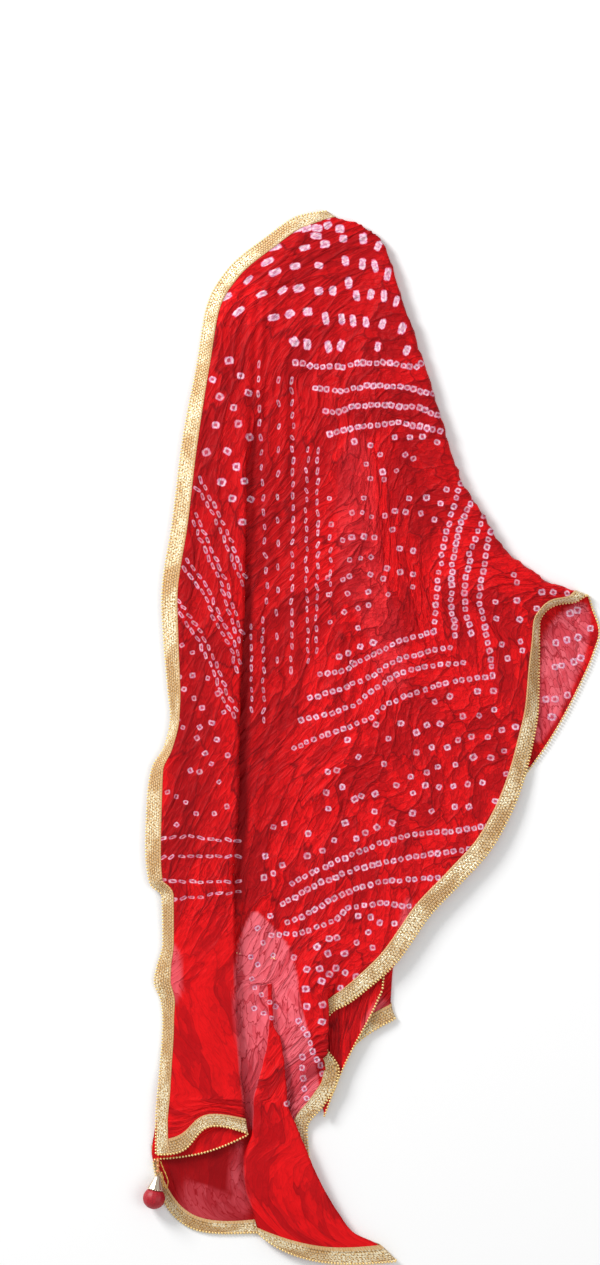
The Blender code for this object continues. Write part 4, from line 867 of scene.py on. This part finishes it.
def dot_offsets(corners, dots):
    """Offset of each face's corners from the nearest and the second nearest dot, in radii,
    and those dots' strengths."""
    table = np.array(dots)
    found = nearest_dots(corners.mean(axis=1), dots, 2)
    offsets = []
    for column in range(2):
        dot = table[found[:, column]]
        away = (corners - dot[:, None, :2]) / dot[:, None, 2:3]
        cosine, sine = np.cos(dot[:, 3])[:, None], np.sin(dot[:, 3])[:, None]
        turned_away = np.stack([cosine * away[..., 0] + sine * away[..., 1],
                                cosine * away[..., 1] - sine * away[..., 0]], axis=-1)
        turned_away *= np.stack([dot[:, 5] ** -0.5, dot[:, 5] ** 0.5], axis=-1)[:, None]
        offsets.append(np.clip(turned_away, -FARTHEST_DOT, FARTHEST_DOT))
    strengths = np.repeat(table[found][:, None, :, 4], corners.shape[1], axis=1)
    return offsets + [strengths]


def span(places, table, edge):
    """1 inside the spans of a table and 0 outside them, with a soft edge."""
    x, y = places[..., 0], places[..., 1]
    left = read_table(table, y.ravel(), 1).reshape(y.shape)
    right = read_table(table, y.ravel(), 2).reshape(y.shape)
    inside = smoothstep((x - left) / edge + 0.5) * smoothstep((right - x) / edge + 0.5)
    top, bottom = table[0][0], table[-1][0]
    return inside * smoothstep((y - top) / edge + 0.5) * smoothstep((bottom - y) / edge + 0.5)


def patches(places, table, parts):
    """The strongest of a table's patches at each place of the picture."""
    return np.max([strength * span(places, spans, edge) * parts[part]
                   for part, strength, edge, spans in table], axis=0)


def soft_folds(places):
    """Height in metres of the broad folds at each place of the front layer."""
    height = np.zeros(places.shape[:-1])
    for rise, half_width, knots in SOFT_FOLDS:
        knots = np.array(knots, float)
        best = np.full(height.shape, 1e9)
        for start, end in zip(knots[:-1], knots[1:]):
            run = end - start
            share = np.clip(((places - start) @ run) / (run @ run), 0.0, 1.0)
            away = np.linalg.norm(places - start - share[..., None] * run, axis=-1)
            best = np.minimum(best, away)
        height += 0.001 * rise * np.exp(-(best / half_width) ** 2)
    return height


def add_object(name, data):
    made = bpy.data.objects.new(name, data)
    bpy.context.scene.collection.objects.link(made)
    return made


def mesh_piece(name, points, faces, node, material):
    mesh = bpy.data.meshes.new(name)
    mesh.from_pydata([tuple(point) for point in points], [], [tuple(face) for face in faces])
    mesh.shade_smooth()
    mesh.materials.append(material)
    piece = add_object(name, mesh)
    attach(piece, "root")
    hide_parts(node)
    return piece


def add_map(piece, name, values):
    layer = piece.data.uv_layers.new(name=name)
    layer.data.foreach_set("uv", np.asarray(values, np.float32).ravel())


def add_value(piece, name, values):
    layer = piece.data.attributes.new(name, "FLOAT", "POINT")
    layer.data.foreach_set("value", np.asarray(values, np.float32).ravel())


def grid_faces(height, width):
    first = (np.arange(height - 1)[:, None] * width + np.arange(width - 1)[None, :]).ravel()
    return np.stack([first, first + 1, first + width + 1, first + width], axis=-1)


def cloth_relief(points, normals, rows, places, layer, dots, in_front):
    """The sheet with its crinkles, the points of its dots and its broad folds."""
    relief = crinkle(*sheet_metres(points))
    peak = np.zeros(relief.shape)
    for side, chosen in (("front", in_front), ("back", ~in_front)):
        peak[chosen] = puckers(layer[chosen], dots[side])
    lift = relief * CRINKLE_DEPTH * np.where(in_front, 1.0, BACK_RELIEF) + PUCKER_HEIGHT * peak
    ruffle = np.exp(-((rows - FOLD) / RUFFLE_ROWS) ** 2)[:, None]
    lift = lift + ruffle * (FOLD_RUFFLE * np.maximum(relief, RUFFLE_FLOOR) + FOLD_PUCKER * peak)
    edge = np.minimum(places, LAST_PLACE - places) - CALM_LACE
    calm = (smoothstep(edge / CALM_FADE)[None, :]
            * smoothstep((FRONT_LACE - rows) / CALM_ROWS)[:, None]
            * smoothstep((rows - BACK_LACE) / CALM_ROWS)[:, None])
    points = points + normals * (lift * calm)[..., None]
    clear = smoothstep((rows - 0.5) / 1.5)[:, None] * calm
    points[..., 2] += soft_folds(layer) * clear * in_front
    points[..., 2] = np.maximum(points[..., 2], LOWEST_CLOTH)
    return points


def cloth_maps(piece, faces, corners, metres, in_front, start, width, dots):
    """Maps of the sheet in metres, of its dots, and of where its colours are kept."""
    found = [np.zeros(corners.shape) for _map in range(3)]
    for side, chosen in (("front", in_front), ("back", ~in_front)):
        for values, offsets in zip(found, dot_offsets(corners[chosen], dots[side])):
            values[chosen] = offsets
    # The back half lies beside the front half in the map
    share = (faces % width) / (width - 1.0)
    spot = np.stack([MAP_EDGE + MAP_WIDTH * share, metres[..., 1]], axis=-1)
    spot[in_front, :, 1] -= start
    spot[~in_front, :, 0] += MAP_BACK
    spot[..., 1] = MAP_EDGE + spot[..., 1] / MAP_LENGTH
    names = ("OFBake", "cloth_m", "dot_near", "dot_next", "dot_strength")
    for name, values in zip(names, (spot, metres, *found)):
        add_map(piece, name, values)


def cloth_values(piece, rows, places, layer, in_front):
    """How sheer and how calm the sheet is at each point, and how much painted shade darkens it."""
    row, place = rows[:, None], places[None, :]
    low = (smoothstep((row - LOW_ROWS[0]) / LOW_ROWS[1])
           * smoothstep((place - LOW_PLACES[0]) / LOW_PLACES[1]))
    plain_top = (row > PLAIN_TOP[0]) & (place > PLAIN_TOP[1]) & (place < PLAIN_TOP[2])
    strip = (place < STRIP_PLACE) & (row > STRIP_ROW)
    parts = {"front": in_front, "back": ~in_front, "fan": in_front & ~plain_top,
             "low": low * in_front, "open": in_front & ~strip, "strip": in_front & strip,
             "base": low * (place < LOW_LAST)}
    undotted = np.where(layer[..., 0] < UNDOTTED_SIDE, UNDOTTED_LEFT, UNDOTTED_RIGHT)
    add_value(piece, "sheer", patches(layer, SHEER_PATCHES, parts))
    add_value(piece, "calm", smoothstep((layer[..., 1] - undotted) / UNDOTTED_FADE) * in_front)
    # Painted shade: darker in the valleys, hollows and gap where shade falls, and at the top, the
    # strip and the base
    add_value(piece, "painted_shade", patches(layer, PAINTED_SHADE_PATCHES, parts))


def make_cloth():
    back_rows = even_rows(BACK_END, FOLD, BACK_COUNT)
    rows = np.concatenate([back_rows[:-1], even_rows(FOLD, FRONT_END, FRONT_COUNT)])
    places = even_places(ACROSS_COUNT)
    points, normals = surface(sheet_points, rows, places, NORMAL_PROBE)
    across, along = sheet_metres(points)
    layer = picture_place(points)
    dots = {"front": uneven(front_dots(), 11), "back": uneven(back_dots(), 12)}
    in_front = np.repeat((rows >= FOLD)[:, None], len(places), axis=1)
    points = cloth_relief(points, normals, rows, places, layer, dots, in_front)
    faces = grid_faces(len(rows), len(places))
    piece = mesh_piece("cloth_sheet", points.reshape(-1, 3), faces, "dupatta_cloth",
                       cloth_material())
    metres = np.stack([across, along], axis=-1).reshape(-1, 2)[faces]
    faces_in_front = rows[(faces // len(places)).min(axis=1)] >= FOLD - 1e-9
    cloth_maps(piece, faces, layer.reshape(-1, 2)[faces], metres, faces_in_front,
               along[len(back_rows) - 1, 0], len(places), dots)
    cloth_values(piece, rows, places, layer, in_front)
    return piece


class Nodes:
    """Short calls for a material's nodes."""

    def __init__(self, name):
        self.material = bpy.data.materials.new(name)
        self.material.use_nodes = True
        self.tree = self.material.node_tree
        self.shader = self.tree.nodes["Principled BSDF"]

    def add(self, kind, inputs=None, **values):
        made = self.tree.nodes.new("ShaderNode" + kind)
        for key, value in values.items():
            setattr(made, key, value)
        for key, value in (inputs or {}).items():
            self.put(made.inputs[key], value)
        return made

    def put(self, socket, value):
        if isinstance(value, bpy.types.NodeSocket):
            self.tree.links.new(value, socket)
        else:
            socket.default_value = value

    def math(self, operation, *values, clamp=False):
        made = self.add("Math", dict(enumerate(values)), operation=operation, use_clamp=clamp)
        return made.outputs[0]

    def times(self, *values):
        return self.math("MULTIPLY", *values)

    def vector(self, operation, first, second):
        made = self.add("VectorMath", {0: first, 3 if operation == "SCALE" else 1: second},
                        operation=operation)
        return made.outputs[0]

    def parts(self, vector):
        return self.add("SeparateXYZ", {0: vector}).outputs

    def coats(self, colour, *coats):
        """A colour with others over it, given as (share, colour) pairs."""
        for share, coat in coats:
            made = self.add("Mix", {0: share, 6: colour, 7: coat}, data_type="RGBA")
            colour = made.outputs[2]
        return colour

    def line(self, value, width):
        """1 where a value is 0, fading to 0 at a width."""
        return self.fade(value, 0.0, width, 1.0, 0.0)

    def fade(self, value, low, high, start=0.0, end=1.0):
        made = self.add("MapRange", {0: value, 1: low, 2: high, 3: start, 4: end},
                        interpolation_type="SMOOTHSTEP")
        return made.outputs[0]

    def map(self, name):
        return self.add("UVMap", uv_map=name).outputs[0]

    def value(self, name):
        return self.add("Attribute", attribute_name=name).outputs["Fac"]

    def stretched(self, vector, scale, turn=0.0):
        made = self.add("Mapping", {"Vector": vector, "Rotation": (0.0, 0.0, turn)},
                        vector_type="TEXTURE")
        self.put(made.inputs["Scale"], (1.0 / scale[0], 1.0 / scale[1], 1.0))
        return made.outputs[0]

    def noise(self, vector, scale, detail=2.0, roughness=0.5, output=0):
        made = self.add("TexNoise", {"Vector": vector, "Scale": scale, "Detail": detail,
                                     "Roughness": roughness})
        return made.outputs[output]

    def finish(self, height=None, depth=0.0, strength=1.0, **inputs):
        """Fill in the shader's inputs, named with underscores, and give the material."""
        if height is not None:
            bump = self.add("Bump", {"Strength": strength, "Distance": depth, "Height": height})
            inputs["Normal"] = bump.outputs[0]
        for name, value in inputs.items():
            self.put(self.shader.inputs[name.replace("_", " ")], value)
        return self.material


def dot_reach(nodes, place):
    """Distance from a dot's middle in its radii, with rounded-square outlines."""
    powers = [nodes.math("POWER", nodes.math("ABSOLUTE", part), SQUARENESS)
              for part in list(nodes.parts(place))[:2]]
    return nodes.math("POWER", nodes.math("ADD", *powers), 1.0 / SQUARENESS)


def facets(nodes, metres, scale, turn, bend):
    """A crumpled family of facets: distance from their creases, and a random value for each that
    sets its painted light and shade.
    """
    place = nodes.stretched(metres, scale, turn)
    wander = nodes.vector("SCALE", nodes.noise(place, 1.3, output=1), bend)
    inputs = {"Vector": nodes.vector("ADD", place, wander), "Scale": 1.0}
    edge = nodes.add("TexVoronoi", inputs, voronoi_dimensions="2D", feature="DISTANCE_TO_EDGE")
    cell = nodes.add("TexVoronoi", inputs, voronoi_dimensions="2D")
    return edge.outputs["Distance"], nodes.parts(cell.outputs["Color"])[0]


def dyed_dots(nodes, metres):
    """Where the dots are, their colour, and the distance from their middles in radii."""
    pull = nodes.noise(metres, PULL_REPEATS, 1.0, output=1)
    pull = nodes.vector("SCALE", nodes.vector("SUBTRACT", pull, (0.5, 0.5, 0.5)), PULL)
    strengths = nodes.parts(nodes.map("dot_strength"))
    reaches, masks = [], []
    for index, name in enumerate(("dot_near", "dot_next")):
        reaches.append(dot_reach(nodes, nodes.vector("ADD", nodes.map(name), pull)))
        masks.append(nodes.times(nodes.fade(reaches[-1], *DOT_RIM, 1.0, 0.0),
                                 nodes.math("MINIMUM", strengths[index], 1.0)))
    reach = nodes.math("MINIMUM", *reaches)
    filled = nodes.fade(strengths[0], 1.1, 1.5, OPEN_HEART, FILLED_HEART)
    heart = nodes.times(nodes.fade(reach, *DOT_CORE, 1.0, 0.0), filled)
    tint = nodes.fade(nodes.noise(metres, 260.0, 1.0), 0.40, 0.62)
    ring = nodes.coats(DOT_WHITE, (tint, DOT_LAVENDER), (nodes.fade(reach, *DOT_FADE), DOT_FRINGE),
                       (heart, DOT_HEART))
    return nodes.math("MAXIMUM", *masks), ring, reach


def cloth_material():
    nodes = Nodes("dyed_silk")
    metres = nodes.map("cloth_m")
    sheer, painted_shade, calm = (nodes.value(name) for name in ("sheer", "painted_shade", "calm"))
    crumple = nodes.math("MULTIPLY_ADD", calm, -CALM_CRUMPLE, 1.0)
    # Creases pressed into the silk: broad facets down the sheet, and small ones aslant
    fine = nodes.noise(nodes.stretched(metres, *FINE_GRAIN), 1.0, 3.0, 0.6)
    broad = nodes.noise(nodes.stretched(metres, BROAD_PATCHES), 1.0)
    edges, shades = zip(*(facets(nodes, metres, *family) for family in FACETS))
    wide_crease = nodes.times(nodes.line(edges[0], WIDE_CREASE), crumple)
    slant_crease = nodes.line(nodes.math("MINIMUM", edges[1], edges[2]), SLANT_CREASE)
    slant_crease = nodes.times(slant_crease, crumple)
    # Painted light and shade: the facets and broad patches lighter or darker, as light falls on
    # crumpled cloth
    shade = nodes.math("SUBTRACT", broad, 0.5)
    for share, facet in zip(FACET_SHADES, shades):
        shade = nodes.math("MULTIPLY_ADD", facet, share, shade)
    shade = nodes.fade(shade, *SHADE_SPAN)
    dot, ring, reach = dyed_dots(nodes, metres)
    # Colours: lit and shaded reds painted over the facets, painted shade in the creases and the
    # shaded places, then the sheer places and the dots
    patch = nodes.math("MULTIPLY_ADD", calm, CALM_PATCH, shade, clamp=True)
    # Painted shade in the slanting and wide creases and in the shaded places
    creases = zip((slant_crease, wide_crease, painted_shade), CREASE_SHADE_COATS)
    slanting, wide, shaded_places = (nodes.times(*pair) for pair in creases)
    grain = nodes.fade(fine, 0.34, 0.50, 0.16, 0.0)
    red = nodes.coats(RED_SHADED, (patch, RED_LIT), (grain, RED_DEEP), (slanting, RED_CREASE_SHADE),
                      (wide, RED_CREASE_SHADE), (shaded_places, RED_DEEP))
    # Sheer places: pinks lit and shaded by the facets' painted light, darker in the creases,
    # partly for the doubled cloth and partly painted shade
    vein = nodes.math("MAXIMUM", wide_crease, nodes.line(edges[1], VEIN))
    thin = nodes.coats(SHEER_SHADED, (shade, SHEER_LIT), (nodes.times(vein, VEIN_COAT), SHEER_VEIN))
    # Relief: creases, and a pucker under every dot
    height = nodes.fade(edges[0], 0.0, WIDE_RELIEF)
    for value, share in ((nodes.fade(edges[1], 0.0, SLANT_RELIEF[0]), SLANT_RELIEF[1]),
                         (fine, FINE_RELIEF), (nodes.line(reach, DOT_RELIEF[0]), DOT_RELIEF[1])):
        height = nodes.math("MULTIPLY_ADD", value, share, height)
    return nodes.finish(nodes.times(height, crumple), CREASE_DEPTH,
                        Base_Color=nodes.coats(red, (sheer, thin), (dot, ring)),
                        Roughness=0.62, Specular_IOR_Level=0.12)


def lace_material():
    nodes = Nodes("gold_weave")
    place = nodes.map("lace_m")
    across, along = list(nodes.parts(place))[:2]
    band = nodes.times(across, 1.0 / FLAT_LACE_WIDTH)
    # Rows of short flat stitches, every other row half a stitch on
    row = nodes.times(band, LACE_STITCH_ROWS)
    shift = nodes.times(nodes.math("FLOOR", row), 0.5)
    stitch = nodes.math("ADD", nodes.times(along, 1.0 / LACE_STITCH), shift)
    sides = [nodes.math("ABSOLUTE", nodes.math("SUBTRACT", nodes.math("FRACT", value), 0.5))
             for value in (stitch, row)]
    relief = nodes.times(*(nodes.fade(side, *STITCH_SIDE, 1.0, 0.0) for side in sides))
    patchy = nodes.noise(nodes.stretched(place, (22.0, 14.0)), 1.0, 2.0, 0.6)
    sparkle = nodes.noise(nodes.stretched(place, (420.0, 330.0)), 1.0, 1.0)
    # Painted glints in the base colour, where the lace is also glossier
    glint_and_gloss = nodes.times(nodes.fade(patchy, 0.42, 0.62, 0.25, 1.0), nodes.fade(sparkle, 0.40, 0.58))
    gold = nodes.coats(
        LACE_DARK, (nodes.fade(patchy, 0.36, 0.62), LACE_LIGHT),
        (nodes.math("SUBTRACT", 1.0, relief), LACE_GAP), (nodes.times(glint_and_gloss, 0.8), LACE_PAINTED_GLINT),
        (nodes.times(nodes.fade(band, 0.84, 0.90), 0.75), LACE_HEM))
    return nodes.finish(relief, STITCH_DEPTH, 0.7, Base_Color=gold, Metallic=0.25,
                        Roughness=nodes.fade(glint_and_gloss, 0.0, 1.0, 0.5, 0.3))


def plain_material(name, colour, metallic, roughness):
    return Nodes(name).finish(Base_Color=colour, Metallic=metallic, Roughness=roughness)


def lace_strip(name, node, rows, places):
    """A strip over grids of rows and places, whose columns run from the outer edge inwards,
    and the line of its beads."""
    middle, normal = surface(grid_points, rows, places, LACE_PROBE)
    shares, heights = np.array(LACE_PROFILE).T
    points = middle + normal * heights[None, :, None]
    points[..., 2] = np.maximum(points[..., 2], LOWEST_LACE)
    length = path_reach(middle[:, len(shares) // 2])
    faces = grid_faces(*rows.shape)
    piece = mesh_piece(name, points.reshape(-1, 3), faces, node, lace_material())
    flat = np.broadcast_arrays((shares * FLAT_LACE_WIDTH)[None, :], length[:, None])
    add_map(piece, "lace_m", np.stack(flat, axis=-1).reshape(-1, 2)[faces])
    outward = middle[:, 0] - middle[:, 2]
    outward /= np.linalg.norm(outward, axis=-1, keepdims=True)
    return piece, middle[:, 0] + BEAD_REACH * outward


def bead_mesh(radius, rings=5, sides=8):
    points, faces = [(0.0, 0.0, radius)], []
    for ring in range(1, rings):
        tilt = math.pi * ring / rings
        for side in range(sides):
            turn = 2.0 * math.pi * side / sides
            points.append((radius * math.sin(tilt) * math.cos(turn),
                           radius * math.sin(tilt) * math.sin(turn), radius * math.cos(tilt)))
    points.append((0.0, 0.0, -radius))
    for side in range(sides):
        after = (side + 1) % sides
        faces.append((0, 1 + side, 1 + after))
        faces.append((len(points) - 1, len(points) - 1 - sides + after,
                      len(points) - 1 - sides + side))
        for ring in range(rings - 2):
            low, high = 1 + ring * sides, 1 + (ring + 1) * sides
            faces.append((low + side, high + side, high + after, low + after))
    return np.array(points), faces


def bead_line(name, node, path, slot, material, pitch=BEAD_PITCH, radius=BEAD_RADIUS):
    """Beads along a path of points, evenly spaced."""
    total = path_reach(path)
    count = max(2, int(total[-1] / pitch))
    shape, shape_faces = bead_mesh(radius)
    points, faces = [], []
    for index in range(count):
        reach = (index + 0.5) * total[-1] / count
        centre = np.array([np.interp(reach, total, path[:, axis]) for axis in range(3)])
        centre[2] = max(centre[2], radius + LOWEST_LACE)
        points.append(shape + centre)
        faces += [tuple(index * len(shape) + corner for corner in face) for face in shape_faces]
    return mesh_piece(name, np.concatenate(points), faces, node, material)


def make_laces():
    pieces = []
    shares = np.array([share for share, _height in LACE_PROFILE])
    rows = np.concatenate([even_rows(BACK_END, FOLD, LACE_BACK_COUNT)[:-1],
                           even_rows(FOLD, FRONT_END, LACE_FRONT_COUNT)])
    across = even_places(LACE_END_COUNT)
    across = across[(across > LACE_PLACE) & (across < LAST_PLACE - LACE_PLACE)]
    bead = plain_material("gold_bead", *GOLD_BEAD)
    for name, lengthwise, edge, inner in LACES:
        run = rows if lengthwise else across
        grids = [np.repeat(run[:, None], len(shares), axis=1),
                 np.repeat((edge + (inner - edge) * shares)[None, :], len(run), axis=0)]
        node = f"lace_{name}"
        strip, path = lace_strip(node + "_weave", node, *grids[::1 if lengthwise else -1])
        if not lengthwise:
            path = sheet_points(np.array([edge]), even_places(BEAD_PATH_COUNT))[0]
        pieces += [strip, bead_line(node + "_beads", node, path, "lace", bead)]
    return pieces


def swept(path, radii, sides, lobes=0.0, lobe_count=0, twist=0.0):
    """A tube along a path, closed at both ends, with optional lobes that wind round it."""
    path = np.asarray(path, float)
    tangent = np.gradient(path, axis=0)
    tangent /= np.linalg.norm(tangent, axis=-1, keepdims=True)
    side = np.cross(tangent[0], (0.0, 0.0, 1.0))
    if np.linalg.norm(side) < 1e-3:
        side = np.cross(tangent[0], (0.0, 1.0, 0.0))
    points, faces = [], []
    for index, (place, ahead) in enumerate(zip(path, tangent)):
        side = side - ahead * np.dot(side, ahead)
        side /= np.linalg.norm(side)
        up = np.cross(ahead, side)
        for step in range(sides):
            angle = 2.0 * math.pi * step / sides
            reach = radii[index] * (1.0 + lobes * math.cos(lobe_count * (angle + twist * index)))
            points.append(place + reach * (math.cos(angle) * side + math.sin(angle) * up))
    for index in range(len(path) - 1):
        for step in range(sides):
            after = (step + 1) % sides
            low, high = index * sides, (index + 1) * sides
            faces.append((low + step, low + after, high + after, high + step))
    faces.append(tuple(reversed(range(sides))))
    faces.append(tuple(range((len(path) - 1) * sides, len(path) * sides)))
    return np.array(points), faces


def twisted(name, node, table, count, radius, lobes, material):
    """A twisted cord through a table's places. Gives its path."""
    path = smooth_path([place_mm(*point) for point in table], count)
    points, faces = swept(path, [radius] * count, CORD_SIDES, lobes, CORD_STRANDS, lobes)
    mesh_piece(name, points, faces, node, material)
    return path


def make_tassel():
    centre, tip = place_mm(*BUD_CENTRE), place_mm(*CAP_TIP)
    # Bud of gathered cloth with pleats that run out from under the cap
    axis = (centre - tip) / np.linalg.norm(centre - tip)
    turns = np.linspace(0.02, math.pi - 0.02, 40)
    points, faces = swept([centre - axis * BUD_RADIUS * math.cos(turn) for turn in turns],
                          BUD_RADIUS * np.sin(turns), 56, 0.018, 14)
    points[:, 2] = np.maximum(points[:, 2], 0.0)
    mesh_piece("bud_cloth", points, faces, "tassel_bud", bud_material())
    # Fluted cap with a beaded rim
    silver = plain_material("cap_silver", *SILVER)
    outer = np.array(CAP_PROFILE)
    reach = np.linspace(0.0, outer[-1, 0], 26)
    body, body_faces = swept([tip + axis * value for value in reach],
                             np.interp(reach, outer[:, 0], outer[:, 1]), 54, 0.07, 9)
    mesh_piece("cap_cone", body, body_faces, "tassel_cap", silver)
    side = np.cross(axis, (0.0, 0.0, 1.0))
    side /= np.linalg.norm(side)
    turns = np.linspace(0.0, 2.0 * math.pi, 37)
    ring = np.outer(np.cos(turns), side) + np.outer(np.sin(turns), np.cross(axis, side))
    rim = tip + axis * CAP_RIM[0] + CAP_RIM[1] * ring
    bead_line("cap_rim", "tassel_cap", rim, "tassel_cap", silver, *CAP_BEADS)
    gold = plain_material("tassel_gold", *GOLD_CORD)
    cord = twisted("cord_twist", "tassel_cord", CORD_PATH, 40, CORD_RADIUS * 0.8, 0.16, gold)
    bead_line("cord_beads", "tassel_cord", cord, "gold_cord",
              plain_material("cord_bead", *CORD_BEAD), *CORD_BEADS)
    twisted("loop_twist", "tassel_loop", LOOP_PATH, 120, LOOP_RADIUS, 0.18, gold)


def bud_material():
    nodes = Nodes("bud_red")
    weave = nodes.noise(nodes.add("TexCoord").outputs["Object"], 900.0)
    colour = nodes.coats(BUD_DARK, (nodes.fade(weave, 0.35, 0.65), BUD_BRIGHT))
    return nodes.finish(weave, BUD_DEPTH, 0.25, Base_Color=colour, Roughness=0.5)


def make_stage():
    floor = bpy.data.meshes.new("floor")
    corners = [(-1, -1), (1, -1), (1, 1), (-1, 1)]
    floor.from_pydata([(x * FLOOR_HALF, y * FLOOR_HALF, 0.0) for x, y in corners], [],
                      [(0, 1, 2, 3)])
    floor.materials.append(plain_material("floor_pale", *PALE_FLOOR))
    plane = add_object("floor", floor)
    plane.location.z = -FLOOR_DROP
    world = bpy.data.worlds.new("studio")
    bpy.context.scene.world = world
    world.use_nodes = True
    inputs = world.node_tree.nodes["Background"].inputs
    inputs["Color"].default_value = (1.0, 1.0, 1.0, 1.0)
    inputs["Strength"].default_value = WORLD_STRENGTH
    for name, place, size, power in LAMPS:
        light = bpy.data.lights.new(name, "AREA")
        light.size = size
        light.energy = power
        lamp = add_object(name, light)
        lamp.location = place
        lamp.rotation_euler = (-Vector(place)).to_track_quat("-Z", "Y").to_euler()


def make_camera():
    camera = bpy.data.cameras.new("camera")
    camera.sensor_width = SENSOR
    camera.lens = SENSOR * VIEW_DISTANCE / (VIEW_HEIGHT * PIXEL)
    eye = add_object("camera", camera)
    eye.location = ((VIEW_CENTRE[0] - CENTRE_X) * PIXEL, (CENTRE_Y - VIEW_CENTRE[1]) * PIXEL,
                    VIEW_DISTANCE)
    bpy.context.scene.camera = eye
    bpy.context.scene.view_settings.view_transform = "Standard"


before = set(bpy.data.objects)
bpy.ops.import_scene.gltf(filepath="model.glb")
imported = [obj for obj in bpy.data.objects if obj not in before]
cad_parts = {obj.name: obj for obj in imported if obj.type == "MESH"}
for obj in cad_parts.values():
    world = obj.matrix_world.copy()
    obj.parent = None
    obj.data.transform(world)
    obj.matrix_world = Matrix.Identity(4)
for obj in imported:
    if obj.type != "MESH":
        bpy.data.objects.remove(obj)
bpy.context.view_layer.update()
cloth = make_cloth()
laces = make_laces()
make_tassel()
make_stage()
make_camera()
